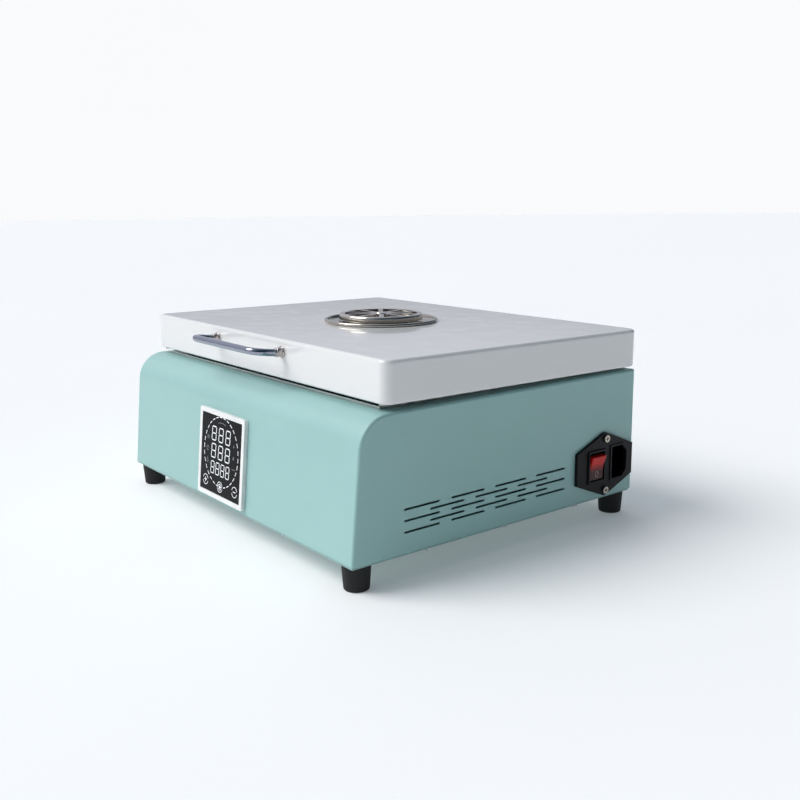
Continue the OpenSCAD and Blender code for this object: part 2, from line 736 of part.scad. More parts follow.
// Four folded strips: each is a wall of the oven space with a flange out to the lid's skirt,
// and a slit is left between neighbours at each corner
module liner_walls() color("#c9ccce") on_lid(liner_flange_z) difference() {
  union() {
    for (side = [-1, 1]) {
      translate([side * (liner_w + liner_t) / 2, 0, wall_rise / 2])
        cube([liner_t, liner_d - 2 * fold_slit, wall_rise], center = true);
      translate([0, side * (liner_d + liner_t) / 2, wall_rise / 2])
        cube([liner_w + 2 * liner_t, liner_t, wall_rise], center = true);
    }
    linear_extrude(liner_t) difference() {
      rounded_rect(liner_flange_w, liner_flange_d, lid_corner_r - lid_t);
      square([liner_w, liner_d], center = true);
      for (side = [-1, 1]) translate([0, side * (liner_d - fold_slit) / 2])
        square([liner_flange_w + 1, fold_slit], center = true);
    }
  }
  at_corners(liner_screw_x, liner_screw_y) hole(m3_r + slack, 4);
}

module liner_screws() color("#b4b7ba") on_lid(lid_z) at_corners(liner_screw_x, liner_screw_y)
  mirror([0, 0, 1]) screw(m3_r, 2.6, 1.4, 6);

module lid_insulation() color("#efe9da") on_lid(liner_top) difference() {
  linear_extrude(lid_top - lid_t - liner_top) square([liner_w + 20, liner_d + 20], center = true);
  translate([vent_x, 0, 0]) hole(duct_r + 1, 40);
}

// Soft seal under the liner, its lower face pressed level by the trim
module lid_gasket() color("#5b5c5e") difference() {
  on_lid(lid_z - 3) linear_extrude(liner_flange_z - lid_z + 3) difference() {
    square([2 * gasket_x + 2 * gasket_w, 2 * gasket_y + gasket_w], center = true);
    square([2 * gasket_x, 2 * gasket_y - gasket_w], center = true);
  }
  placed() translate([-body_w, 0, 0]) cube([2 * body_w, 2 * body_d, body_h + trim_t + 0.3]);
}

module vent_duct() color("#c3c6c8") on_lid(liner_top - liner_t) translate([vent_x, 0, 0]) difference() {
  cylinder(r = duct_r, h = lid_top - liner_top + liner_t);
  translate([0, 0, -1]) cylinder(r = duct_r - 1, h = 40);
}

// Wedge openings between spokes, from one radius to another
module wedges_2d(inner, outer, spoke) {
  difference() {
    circle(outer);
    circle(inner);
    for (i = [0:vent_slots - 1]) rotate(i * 360 / vent_slots)
      translate([0, -spoke / 2]) square([outer + 5, spoke]);
  }
}

// Fixed flange: a flat ring with a rolled edge, a slotted middle and a ring of upright tabs
module vent_flange() color("#d0d3d5") on_lid(lid_top) translate([vent_x, 0, 0]) {
  difference() {
    union() {
      linear_extrude(vent_sheet) circle(vent_r - 0.9);
      rotate_extrude() translate([vent_r - 1.1, 1.1]) circle(1.1, $fn = 24);
    }
    translate([0, 0, -1]) linear_extrude(5) wedges_2d(9, duct_r - 3, 9);
    hole(pivot_r + running, 10);
  }
  for (tab = [0:7]) rotate([0, 0, tab * 45]) translate([cap_r - 3, -2.5, vent_sheet - 0.05])
    cube([0.8, 5, cap_z - lid_top - vent_sheet + 1]);
}

// Slotted disc that slides over the flange and opens or closes it
module vent_shutter() color("#bfc3c6") on_lid(lid_top + vent_sheet + vent_gap)
  translate([vent_x, 0, 0]) difference() {
    cylinder(r = duct_r - 0.6, h = vent_sheet);
    translate([0, 0, -1]) linear_extrude(5) wedges_2d(9, duct_r - 3, 9);
    hole(pivot_r + running, 10);
  }

// Turning cap: spoked top, rolled edge and a hub that turns on the pivot
module vent_cap() color("#d8dbdd") on_lid(cap_z) translate([vent_x, 0, 0]) difference() {
  union() {
    difference() {
      cylinder(r = cap_r - 0.7, h = cap_h - 0.9);
      translate([0, 0, -1]) cylinder(r = cap_r - 1.6, h = cap_h - 0.9);
    }
    rotate_extrude() translate([cap_r - 1.1, cap_h - 1.1]) circle(1.1, $fn = 24);
    translate([0, 0, -hub_drop]) cylinder(r = 6, h = hub_drop + cap_h - 0.9);
  }
  translate([0, 0, cap_h - 3]) linear_extrude(10) wedges_2d(9, cap_r - 3.2, 2.4);
  hole(pivot_r + running, 30);
}

module vent_pivot() color("#c8ccd0") on_lid(lid_top) translate([vent_x, 0, 0]) {
  translate([0, 0, -2]) cylinder(r = 4.5, h = 2);
  translate([0, 0, -0.5]) cylinder(r = pivot_r, h = cap_z + cap_h - 0.9 - lid_top + 0.8);
  translate([0, 0, cap_z + cap_h - 0.9 - lid_top + 0.1]) cylinder(r = 4.6, h = 1.2);
}

// ---- Handle ----

module handle_bar() color("#cfd3d8") on_level_lid() translate([handle_x, lid_front, handle_z]) {
  half = handle_pitch / 2;
  round_bar([[-half, -ferrule_l], [-half, -handle_reach], [half, -handle_reach], [half, -ferrule_l]],
            handle_d / 2, 6);
}

module handle_ferrules() color("#c2c6cb") on_level_lid() for (side = [-1, 1])
  translate([handle_x + side * handle_pitch / 2, lid_front, handle_z]) rotate([90, 0, 0]) difference() {
    union() {
      cylinder(r = 5, h = 2);
      cylinder(r = 4.2, h = ferrule_l - 2);
      cylinder(r = 3.4, h = ferrule_l);
    }
    hole(m4_r + slack, 30);
  }

module handle_screws() color("#9a9c9f") on_level_lid() for (side = [-1, 1])
  translate([handle_x + side * handle_pitch / 2, lid_front + lid_t, handle_z]) rotate([-90, 0, 0])
    screw(m4_r, 3.9, 2.2, ferrule_l + lid_t);

// ---- Hinges ----

module at_hinges() {
  for (x = hinge_xs) translate([x, 0, 0]) children();
}

// Knuckle barrel at a place along the pin
module knuckle(from, length) {
  translate([from, hinge_y, hinge_z]) rotate([0, 90, 0]) cylinder(r = knuckle_r, h = length);
}

module pin_hole() {
  translate([0, hinge_y, hinge_z]) rotate([0, 90, 0]) hole(pin_r + running, hinge_w + 10);
}

module hinge_leaves_base() color("#a3a6a9") placed() at_hinges() difference() {
  union() {
    translate([-hinge_w / 2, body_d, hinge_z - 24]) cube([hinge_w, leaf_t, 19.4]);
    for (from = [-hinge_w / 2, hinge_w / 2 - knuckle_w]) {
      translate([from, body_d + 0.3, hinge_z - 5]) cube([knuckle_w, 2.4, 5]);
      knuckle(from, knuckle_w);
    }
  }
  pin_hole();
  for (side = [-1, 1]) translate([side * leaf_screw_x, body_d, hinge_z - 16])
    rotate([90, 0, 0]) hole(m3_r + slack, 8);
}

module hinge_leaves_lid() color("#a3a6a9") on_level_lid() at_hinges() difference() {
  union() {
    translate([-hinge_w / 2, lid_rear, lid_z + 2.5]) cube([hinge_w, leaf_t, 19]);
    translate([-mid_knuckle_w / 2, lid_rear, hinge_z]) cube([mid_knuckle_w, leaf_t, 10]);
    knuckle(-mid_knuckle_w / 2, mid_knuckle_w);
  }
  pin_hole();
  for (side = [-1, 1]) translate([side * leaf_screw_x, lid_rear, lid_z + 14])
    rotate([90, 0, 0]) hole(m3_r + slack, 8);
}

module hinge_pins() color("#c0c4c8") placed() at_hinges()
  translate([-hinge_w / 2 - 0.9, hinge_y, hinge_z]) rotate([0, 90, 0]) {
    cylinder(r = pin_r, h = hinge_w + 1.8);
    for (x = [0, hinge_w + 1]) translate([0, 0, x]) cylinder(r = 2.6, h = 0.8);
  }

module hinge_screws_base() color("#9a9c9f") placed() at_hinges() for (side = [-1, 1])
  translate([side * leaf_screw_x, body_d + leaf_t, hinge_z - 16]) rotate([-90, 0, 0]) screw(m3_r, 2.7, 1.6, 8);

module hinge_screws_lid() color("#9a9c9f") on_level_lid() at_hinges() for (side = [-1, 1])
  translate([side * leaf_screw_x, lid_rear + leaf_t, lid_z + 14]) rotate([-90, 0, 0]) screw(m3_r, 2.7, 1.6, 8);

body_shell();
rear_panel();
bottom_pan();
feet();
foot_screws();
foot_nuts();
shell_screws();
rear_screws();
display_bezel();
touch_glass();
display_board();
display_ribbon();
inlet_housing();
inlet_pins();
inlet_screws();
power_rocker();
chamber_trim();
trim_screws();
heating_plate();
heater_rods();
thermocouple();
thermal_cutout();
plate_standoffs();
standoff_nuts();
insulation_board();
heat_shield();
control_board();
board_spacers();
solid_state_relay();
relay_heatsink();
terminal_block();
earth_stud();
inner_screws();
wiring();
fan_frame();
fan_rotor();
fan_screws();
lid_shell();
liner_roof();
liner_walls();
lid_insulation();
lid_gasket();
liner_screws();
vent_duct();
vent_flange();
vent_shutter();
vent_cap();
vent_pivot();
handle_bar();
handle_ferrules();
handle_screws();
hinge_leaves_base();
hinge_leaves_lid();
hinge_pins();
hinge_screws_base();
hinge_screws_lid();
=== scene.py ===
import math

import bmesh
import bpy
from mathutils import Matrix, Vector


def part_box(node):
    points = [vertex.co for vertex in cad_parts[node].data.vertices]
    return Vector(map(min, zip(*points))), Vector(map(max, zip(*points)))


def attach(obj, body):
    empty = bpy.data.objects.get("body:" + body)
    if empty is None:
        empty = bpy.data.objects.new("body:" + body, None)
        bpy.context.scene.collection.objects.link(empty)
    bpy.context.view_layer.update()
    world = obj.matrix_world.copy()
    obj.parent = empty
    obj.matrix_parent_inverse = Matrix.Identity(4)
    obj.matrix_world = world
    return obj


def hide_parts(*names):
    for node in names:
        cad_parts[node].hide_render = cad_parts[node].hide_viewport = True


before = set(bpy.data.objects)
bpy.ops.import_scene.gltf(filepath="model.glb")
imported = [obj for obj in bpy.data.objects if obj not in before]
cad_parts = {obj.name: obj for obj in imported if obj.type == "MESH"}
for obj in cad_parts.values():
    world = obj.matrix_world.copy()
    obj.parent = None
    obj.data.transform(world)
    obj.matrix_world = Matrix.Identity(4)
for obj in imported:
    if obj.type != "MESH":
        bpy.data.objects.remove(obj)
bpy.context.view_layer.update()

# ---------------------------------------------------------------- places
# Shapes are drawn in millimetres from the base's own corner: X from the middle, Y from the front
# bottom edge, Z from the underside. PLACED takes them to the frame.
MM = 0.001
BODY_DEPTH, BODY_TOP, SHEET = 265.0, 95.5, 1.2
shell_low, shell_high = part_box("body_shell")
pan_low, pan_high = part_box("bottom_pan")
CORNER = Vector(((shell_low.x + shell_high.x) / 2, shell_high.y - (BODY_DEPTH - SHEET) * MM, pan_low.z))
PLACED = Matrix.Translation(CORNER) @ Matrix.Scale(MM, 4)
HALF_W = (shell_high.x - shell_low.x) / 2 / MM
HINGE_Y, HINGE_Z = 269.2, 93.4
TILT, LEAN = math.radians(0.6), math.radians(5.7)
LID_FRONT, LID_DEPTH, LID_Z, LID_H = 27.7, 240.5, 97.7, 28.4
LID_MID = LID_FRONT + LID_DEPTH / 2


def shift(x, y, z):
    return Matrix.Translation((x, y, z))


def turn(degrees, axis):
    return Matrix.Rotation(math.radians(degrees), 4, axis)


LEVEL = PLACED @ shift(0, HINGE_Y, HINGE_Z) @ Matrix.Rotation(-TILT, 4, "X") @ shift(0, -HINGE_Y, -HINGE_Z)
LID = LEVEL @ shift(0, LID_MID, LID_Z)
ON_FRONT = Matrix.Rotation(math.pi / 2 - LEAN, 4, "X")
ON_RIGHT = shift(HALF_W, 0, 0) @ turn(90, "Z") @ turn(90, "X")
bezel_low, bezel_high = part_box("display_bezel")
DISPLAY_X = ((bezel_low.x + bezel_high.x) / 2 - CORNER.x) / MM
DISPLAY_UP = 37.5
INLET_BACK, INLET_UP = 232, 27
DISPLAY = PLACED @ ON_FRONT @ shift(DISPLAY_X, DISPLAY_UP, 0)
INLET = PLACED @ ON_RIGHT @ shift(INLET_BACK, INLET_UP, 0)

# ---------------------------------------------------------------- mesh tools


class Shape:
    """Points and faces gathered for one piece, in millimetres."""

    def __init__(self):
        self.points, self.faces = [], []

    def add(self, points, faces, place=None):
        first = len(self.points)
        self.points += [place @ Vector(p) if place else Vector(p) for p in points]
        self.faces += [tuple(first + i for i in face) for face in faces]
        return self

    def rings(self, rings, place=None, around=True, closed=False, cap_start=False, cap_end=False):
        """Joins rings of equal length; around closes each ring, closed joins the last ring to the first."""
        n, m = len(rings[0]), len(rings)
        points = [p for ring in rings for p in ring]
        faces = []
        for j in range(m if closed else m - 1):
            k = (j + 1) % m
            for i in range(n if around else n - 1):
                h = (i + 1) % n
                faces.append((j * n + i, j * n + h, k * n + h, k * n + i))
        if cap_start:
            faces.append(tuple(range(n))[::-1])
        if cap_end:
            faces.append(tuple((m - 1) * n + i for i in range(n)))
        return self.add(points, faces, place)

    def lathe(self, profile, place=None, steps=96, closed=False):
        """Turns (radius, height) points about Z. A radius of 0 at an end closes it."""
        rings = []
        for r, z in profile:
            rings.append([(r * math.cos(math.tau * i / steps), r * math.sin(math.tau * i / steps), z)
                          for i in range(steps)])
        return self.rings(rings, place, closed=closed)

    def prism(self, outline, low, high, place=None):
        n = len(outline)
        points = [(x, y, low) for x, y in outline] + [(x, y, high) for x, y in outline]
        faces = [tuple(range(n))[::-1], tuple(range(n, 2 * n))]
        faces += [(i, (i + 1) % n, n + (i + 1) % n, n + i) for i in range(n)]
        return self.add(points, faces, place)

    def block(self, size, centre, place=None):
        w, d, h = (s / 2 for s in size)
        x, y, z = centre
        outline = [(x - w, y - d), (x + w, y - d), (x + w, y + d), (x - w, y + d)]
        return self.prism(outline, z - h, z + h, place)

    def tube(self, path, radii, place=None, steps=32):
        """A round tube along path, its radius given at each point."""
        path = [Vector(p) for p in path]
        rings = []
        side = None
        for i, p in enumerate(path):
            way = (path[min(i + 1, len(path) - 1)] - path[max(i - 1, 0)]).normalized()
            if side is None:
                side = way.orthogonal().normalized()
            side = (side - way * side.dot(way)).normalized()
            up = way.cross(side)
            rings.append([p + radii[i] * (math.cos(math.tau * k / steps) * side + math.sin(math.tau * k / steps) * up)
                          for k in range(steps)])
        return self.rings(rings, place, cap_start=True, cap_end=True)

    def mesh(self, name, place):
        mesh = bpy.data.meshes.new(name)
        mesh.from_pydata([place @ p for p in self.points], [], self.faces)
        work = bmesh.new()
        work.from_mesh(mesh)
        bmesh.ops.remove_doubles(work, verts=work.verts, dist=2e-7)
        bmesh.ops.dissolve_degenerate(work, dist=1e-7, edges=work.edges)
        bmesh.ops.recalc_face_normals(work, faces=work.faces)
        work.to_mesh(mesh)
        work.free()
        return mesh


def arc(cx, cy, r, start, end, steps):
    """Points of an arc from start to end degrees."""
    return [(cx + r * math.cos(math.radians(start + (end - start) * i / steps)),
             cy + r * math.sin(math.radians(start + (end - start) * i / steps))) for i in range(steps + 1)]


def rounded_outline(width, height, r, steps=12):
    w, h = width / 2 - r, height / 2 - r
    return (arc(w, h, r, 0, 90, steps) + arc(-w, h, r, 90, 180, steps)
            + arc(-w, -h, r, 180, 270, steps) + arc(w, -h, r, 270, 360, steps))


def slot_outline(length, width, steps=8):
    half = (length - width) / 2
    return arc(half, 0, width / 2, -90, 90, steps) + arc(-half, 0, width / 2, 90, 270, steps)


def link(name, mesh):
    obj = bpy.data.objects.new(name, mesh)
    bpy.context.scene.collection.objects.link(obj)
    return obj


def bake(obj):
    """Replaces the object's mesh by what its modifiers make of it."""
    bpy.context.view_layer.update()
    shown = obj.evaluated_get(bpy.context.evaluated_depsgraph_get())
    mesh = bpy.data.meshes.new_from_object(shown)
    obj.modifiers.clear()
    obj.data = mesh
    return obj


def cut(obj, tool_mesh):
    """Takes the tool's solids out of the object."""
    tool = link("cutting_tool", tool_mesh)
    step = obj.modifiers.new("cut", "BOOLEAN")
    step.operation, step.solver, step.object = "DIFFERENCE", "EXACT", tool
    bake(obj)
    bpy.data.objects.remove(tool)


def smooth(obj, angle=32.0, weigh=True):
    mesh = obj.data
    mesh.polygons.foreach_set("use_smooth", [True] * len(mesh.polygons))
    mesh.set_sharp_from_angle(angle=math.radians(angle))
    if weigh:
        step = obj.modifiers.new("even_shading", "WEIGHTED_NORMAL")
        step.weight, step.keep_sharp = 100, True


def soften(obj, width, segments=3, angle=32.0):
    """Rounds the sharp edges by width millimetres."""
    step = obj.modifiers.new("soft_edges", "BEVEL")
    step.width, step.segments = width * MM, segments
    step.limit_method, step.angle_limit = "ANGLE", math.radians(angle)
    step.use_clamp_overlap = True
    step.miter_outer = "MITER_ARC"
    step.harden_normals = False


def piece(name, shape, place, material, body, replaces=(), angle=32.0, bevel=None, segments=3):
    """One finished piece of the object."""
    mesh = shape.mesh(name, place) if isinstance(shape, Shape) else shape
    obj = link(name, mesh)
    if bevel:
        soften(obj, bevel, segments)
    smooth(obj, angle)
    mesh.materials.clear()
    mesh.materials.append(material)
    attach(obj, body)
    if replaces:
        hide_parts(*replaces)
    return obj


def dress(node, material, bevel=None, segments=2, angle=32.0):
    """A finish for a CAD node, and soft edges where bevel gives their width in millimetres."""
    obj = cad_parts[node]
    obj.data.materials.clear()
    obj.data.materials.append(material)
    if bevel:
        weld = obj.modifiers.new("weld", "WELD")
        weld.merge_threshold = 2e-6
        flat = obj.modifiers.new("flat_faces", "DECIMATE")
        flat.decimate_type, flat.angle_limit = "DISSOLVE", math.radians(0.5)
        soften(obj, bevel, segments, angle)
        even = obj.modifiers.new("even_shading", "WEIGHTED_NORMAL")
        even.weight, even.keep_sharp = 100, True
    return obj


# ---------------------------------------------------------------- materials


class Finish:
    """A Principled material built from procedural nodes in object space, so that it stays on its piece."""

    def __init__(self, name, **uniform):
        self.material = bpy.data.materials.new(name)
        self.material.use_nodes = True
        self.tree = self.material.node_tree
        self.shader = self.tree.nodes["Principled BSDF"]
        self.place = self.new("ShaderNodeTexCoord").outputs["Object"]
        for socket, value in uniform.items():
            self.shader.inputs[socket.replace("_", " ")].default_value = value

    def new(self, kind, inputs=(), **settings):
        node = self.tree.nodes.new(kind)
        for key, value in settings.items():
            setattr(node, key, value)
        for key, value in dict(inputs).items():
            self.put(node.inputs[key], value)
        return node

    def put(self, socket, value):
        if isinstance(value, bpy.types.NodeSocket):
            self.tree.links.new(value, socket)
        else:
            socket.default_value = value

    def noise(self, scale, detail=2.0, rough=0.5, stretch=None, warp=0.0):
        """Noise with about scale features to the metre; stretch scales X, Y and Z apart."""
        place = self.place
        if stretch:
            place = self.new("ShaderNodeMapping", {"Vector": place, "Scale": stretch}).outputs[0]
        return self.new("ShaderNodeTexNoise", {"Vector": place, "Scale": scale, "Detail": detail,
                                               "Roughness": rough, "Distortion": warp}).outputs["Fac"]

    def math(self, operation, a, b=0.0, clamp=False):
        node = self.new("ShaderNodeMath", operation=operation, use_clamp=clamp)
        self.put(node.inputs[0], a)
        self.put(node.inputs[1], b)
        return node.outputs[0]

    def span(self, value, low, high, to_low, to_high):
        """Maps value from low..high to to_low..to_high, clamped."""
        return self.new("ShaderNodeMapRange", {"Value": value, "From Min": low, "From Max": high,
                                               "To Min": to_low, "To Max": to_high}).outputs["Result"]

    def mix(self, share, a, b):
        node = self.new("ShaderNodeMix", data_type="RGBA")
        self.put(node.inputs[0], share)
        self.put(node.inputs[6], (*a, 1) if isinstance(a, tuple) else a)
        self.put(node.inputs[7], (*b, 1) if isinstance(b, tuple) else b)
        return node.outputs[2]

    def edges(self, radius, gain):
        """1 at outer edges, fading to 0 within radius millimetres."""
        rounded = self.new("ShaderNodeBevel", {"Radius": radius * MM}, samples=4).outputs[0]
        plain = self.new("ShaderNodeNewGeometry").outputs["Normal"]
        match = self.new("ShaderNodeVectorMath", {0: rounded, 1: plain}, operation="DOT_PRODUCT").outputs["Value"]
        bent = self.math("SUBTRACT", 1.0, match)
        broken = self.math("MULTIPLY", bent, self.span(self.noise(160, 4, 0.6), 0.35, 0.65, 0.0, gain))
        return self.math("MULTIPLY", broken, 1.0, clamp=True)

    def bump(self, *layers):
        """Layers of (height, depth in millimetres), one on the other."""
        normal = None
        for height, depth in layers:
            inputs = {"Height": height, "Distance": depth * MM, "Strength": 1.0}
            if normal:
                inputs["Normal"] = normal
            normal = self.new("ShaderNodeBump", inputs).outputs[0]
        self.put(self.shader.inputs["Normal"], normal)
        return self

    def colour(self, value):
        self.put(self.shader.inputs["Base Color"], value)
        return self

    def rough(self, value):
        self.put(self.shader.inputs["Roughness"], value)
        return self

    def rings(self, centre, scale):
        """Fine turned lines round an upright axis through centre, for spun metal."""
        away = self.new("ShaderNodeVectorMath", {0: self.place, 1: centre}, operation="SUBTRACT").outputs[0]
        flat = self.new("ShaderNodeVectorMath", {0: away, 1: (1, 1, 0)}, operation="MULTIPLY").outputs[0]
        radius = self.new("ShaderNodeVectorMath", {0: flat}, operation="LENGTH").outputs["Value"]
        return self.new("ShaderNodeTexNoise", {"W": radius, "Scale": scale, "Detail": 2.0},
                        noise_dimensions="1D").outputs["Fac"]


def powder_coat(name, base, worn):
    """Satin powder coat: orange peel, faint clouding, and a little wear at the edges."""
    f = Finish(name, Specular_IOR_Level=0.5, Coat_Weight=0.12, Coat_Roughness=0.25)
    cloud = f.noise(9, 3, 0.55)
    grain = f.noise(2600, 2, 0.6)
    dark, pale = tuple(c * 0.965 for c in base), tuple(min(c * 1.03, 1) for c in base)
    tint = f.mix(f.span(cloud, 0.3, 0.7, 0.0, 1.0), dark, pale)
    tint = f.mix(f.span(grain, 0.58, 0.75, 0.0, 0.22), tint, tuple(min(c * 1.12, 1) for c in base))
    f.colour(f.mix(f.edges(0.7, 1.6), tint, worn))
    f.rough(f.math("ADD", f.span(cloud, 0.2, 0.8, 0.33, 0.41), f.span(grain, 0.3, 0.7, 0.0, 0.06)))
    return f.bump((f.noise(520, 2, 0.5), 0.013), (grain, 0.004)).material


def enamel(name, base):
    """Glossy stoved enamel on sheet steel, which is a little wavy under its shine."""
    f = Finish(name, Specular_IOR_Level=0.5, Coat_Weight=0.55, Coat_Roughness=0.04, Coat_IOR=1.5)
    cloud = f.noise(7, 3, 0.55)
    specks = f.noise(1500, 1, 0.5)
    tint = f.mix(f.span(cloud, 0.3, 0.7, 0.0, 1.0), tuple(c * 0.975 for c in base), base)
    tint = f.mix(f.span(specks, 0.71, 0.76, 0.0, 0.35), tint, (0.55, 0.54, 0.5))
    f.colour(f.mix(f.edges(0.8, 0.7), tint, (0.74, 0.735, 0.71)))
    f.rough(f.math("ADD", f.span(cloud, 0.25, 0.75, 0.11, 0.17), f.span(f.noise(60, 4, 0.6), 0.45, 0.8, 0.0, 0.08)))
    return f.bump((f.noise(11, 1, 0.4), 0.32), (f.noise(330, 2, 0.5), 0.0045)).material


def metal(name, base, rough=0.25, grain=900.0, stretch=(1, 1, 1), depth=0.004, dull=0.12, tint=None, edge=0.5):
    """Bare metal: grain lines, finger smudges, darker in the hollows of its finish."""
    f = Finish(name, Metallic=1.0)
    lines = f.noise(grain, 3, 0.6, stretch)
    smudge = f.noise(38, 4, 0.62, warp=0.6)
    dark = tint or tuple(c * 0.86 for c in base)
    body = f.mix(f.span(lines, 0.3, 0.7, 0.0, 1.0), dark, base)
    f.colour(f.mix(f.edges(0.5, edge), body, tuple(min(c * 1.18, 0.95) for c in base)))
    spread = f.math("ADD", f.span(lines, 0.25, 0.75, rough * 0.85, rough * 1.2), f.span(smudge, 0.45, 0.75, 0.0, dull))
    f.rough(spread)
    return f.bump((lines, depth), (f.noise(60, 2, 0.5), depth * 2)).material


def spun_metal(name, base, centre, rough):
    """Polished spun steel with turned rings round its axis."""
    f = Finish(name, Metallic=1.0)
    rings = f.rings(centre, 5200)
    smudge = f.noise(45, 4, 0.62, warp=0.5)
    body = f.mix(f.span(rings, 0.35, 0.65, 0.0, 1.0), tuple(c * 0.9 for c in base), base)
    f.colour(f.mix(f.span(smudge, 0.5, 0.8, 0.0, 0.5), body, tuple(c * k for c, k in zip(base, (0.93, 0.9, 0.85)))))
    f.rough(f.math("ADD", f.span(rings, 0.3, 0.7, rough * 0.8, rough * 1.25), f.span(smudge, 0.5, 0.8, 0.0, 0.07)))
    return f.bump((rings, 0.0016), (f.noise(120, 2, 0.5), 0.012)).material


def plastic(name, base, light, rough=0.42, grain=3200.0, depth=0.006, gain=0.7, **uniform):
    """Moulded plastic: spark-eroded grain, faint flow marks, and edges rubbed and painted lighter there as a painted
    sheen.
    """
    f = Finish(name, **uniform)
    fine = f.noise(grain, 2, 0.6)
    flow = f.noise(22, 3, 0.6, (1.0, 1.0, 2.6), warp=0.8)
    body = f.mix(f.span(flow, 0.3, 0.7, 0.0, 1.0), base, tuple(c * 1.12 for c in base))
    body = f.mix(f.span(fine, 0.55, 0.8, 0.0, 0.3), body, light)
    # Edges painted lighter: a painted sheen where they are rubbed.
    f.colour(f.mix(f.edges(0.5, gain), body, light))
    f.rough(f.math("ADD", f.span(flow, 0.3, 0.7, rough - 0.04, rough + 0.04), f.span(fine, 0.3, 0.7, -0.04, 0.06)))
    return f.bump((fine, depth), (f.noise(140, 2, 0.5), depth * 2)).material


def dark_glass():
    """Printed black glass with fingerprints."""
    f = Finish("black_touch_glass", Specular_IOR_Level=0.06, Coat_Weight=0.02, Coat_Roughness=0.03)
    smear = f.noise(130, 5, 0.7, (1, 1, 0.6), warp=1.4)
    dust = f.noise(5200, 1, 0.5)
    f.colour(f.mix(f.span(dust, 0.7, 0.78, 0.0, 0.5), (0.003, 0.003, 0.004), (0.03, 0.03, 0.033)))
    f.rough(f.span(smear, 0.4, 0.75, 0.05, 0.2))
    return f.bump((f.noise(90, 2, 0.4), 0.004)).material


def print_ink(name, base, glow, strength):
    """Display graphics: pale ink that lights up evenly, with a faint dot screen."""
    f = Finish(name, Roughness=0.45, Emission_Strength=strength, Emission_Color=(*glow, 1))
    screen = f.new("ShaderNodeTexVoronoi", {"Vector": f.place, "Scale": 4200.0}).outputs["Distance"]
    f.colour(f.mix(f.span(screen, 0.1, 0.6, 0.0, 1.0), base, tuple(c * 0.8 for c in base)))
    return f.bump((screen, 0.004)).material


def fibre(name, base, dark, scale, depth, rough=0.9):
    """Pressed mineral fibre or ceramic: matted strands and pits."""
    f = Finish(name, Specular_IOR_Level=0.2)
    strands = f.noise(scale, 6, 0.7, (1.0, 3.0, 1.6), warp=1.2)
    clumps = f.noise(scale / 7, 3, 0.6)
    body = f.mix(f.span(strands, 0.35, 0.62, 0.0, 1.0), dark, base)
    f.colour(f.mix(f.span(clumps, 0.35, 0.7, 0.0, 0.35), body, dark))
    f.rough(f.span(strands, 0.3, 0.7, rough - 0.08, rough + 0.08))
    return f.bump((clumps, depth * 2), (strands, depth)).material


def board_finish():
    """Circuit board: solder mask over copper tracks, with pads."""
    f = Finish("board_mask", Coat_Weight=0.3, Coat_Roughness=0.2)
    tracks = f.new("ShaderNodeTexBrick", {"Vector": f.place, "Scale": 210.0, "Mortar Size": 0.06,
                                          "Mortar Smooth": 0.2, "Brick Width": 1.4, "Row Height": 0.32}).outputs["Fac"]
    pads = f.new("ShaderNodeTexVoronoi", {"Vector": f.place, "Scale": 260.0, "Randomness": 0.3}).outputs["Distance"]
    mask = f.mix(tracks, (0.012, 0.09, 0.04), (0.02, 0.16, 0.07))
    f.colour(f.mix(f.span(pads, 0.1, 0.14, 1.0, 0.0), mask, (0.5, 0.47, 0.4)))
    f.rough(f.span(f.noise(300, 3, 0.6), 0.3, 0.7, 0.28, 0.42))
    return f.bump((tracks, 0.03), (f.noise(900, 2, 0.5), 0.004)).material


def ribbon_finish():
    """Flat cable: a ridge for each wire, each ridge painted lighter on top and darker in the grooves as painted shade.
    """
    f = Finish("ribbon", Roughness=0.5)
    ridges = f.new("ShaderNodeTexWave", {"Vector": f.place, "Scale": 250.0}, bands_direction="X").outputs["Fac"]
    # Colour follows the ridges: painted highlight on their tops, painted shade in the grooves.
    f.colour(f.mix(ridges, (0.16, 0.165, 0.17), (0.34, 0.35, 0.36)))
    f.rough(f.span(f.noise(400, 2, 0.5), 0.3, 0.7, 0.42, 0.56))
    return f.bump((ridges, 0.25)).material


def heater_finish():
    """Heater sheath: steel, straw and blue from the heat."""
    f = Finish("heater_sheath", Metallic=1.0)
    heat = f.noise(30, 3, 0.6, (1, 0.5, 1))
    straw = f.mix(f.span(heat, 0.35, 0.5, 0.0, 1.0), (0.36, 0.34, 0.31), (0.42, 0.31, 0.17))
    f.colour(f.mix(f.span(heat, 0.52, 0.66, 0.0, 1.0), straw, (0.17, 0.17, 0.27)))
    f.rough(f.span(f.noise(900, 3, 0.6), 0.3, 0.7, 0.3, 0.45))
    return f.bump((f.noise(700, 2, 0.5), 0.01)).material


def rocker_finish():
    """Red rocker plastic, painted bright toward its upper end and dark toward its lower end: painted light and shade by
    height.
    """
    f = Finish("red_rocker_plastic", Specular_IOR_Level=0.25, Coat_Weight=0.12, Coat_Roughness=0.08)
    apart = f.new("ShaderNodeSeparateXYZ", {0: f.place}).outputs["Z"]
    flow = f.noise(90, 3, 0.6, warp=0.6)
    level = f.math("ADD", apart, f.span(flow, 0.3, 0.7, -0.0008, 0.0008))
    # Share of painted light by height: 0 is painted shade low on the rocker, 1 is painted light toward its upper end.
    depth = f.span(level, ROCKER_SHADED_BELOW, ROCKER_LIT_ABOVE, 0.0, 1.0)
    body = f.mix(depth, (0.05, 0.0035, 0.003), (0.62, 0.012, 0.008))
    f.colour(f.mix(f.edges(0.5, 0.35), body, (0.5, 0.02, 0.012)))
    f.rough(f.math("ADD", f.span(flow, 0.3, 0.7, 0.16, 0.22), f.span(f.noise(2600, 2, 0.6), 0.3, 0.7, 0.0, 0.05)))
    return f.bump((f.noise(2600, 2, 0.6), 0.002), (f.noise(140, 2, 0.5), 0.005)).material


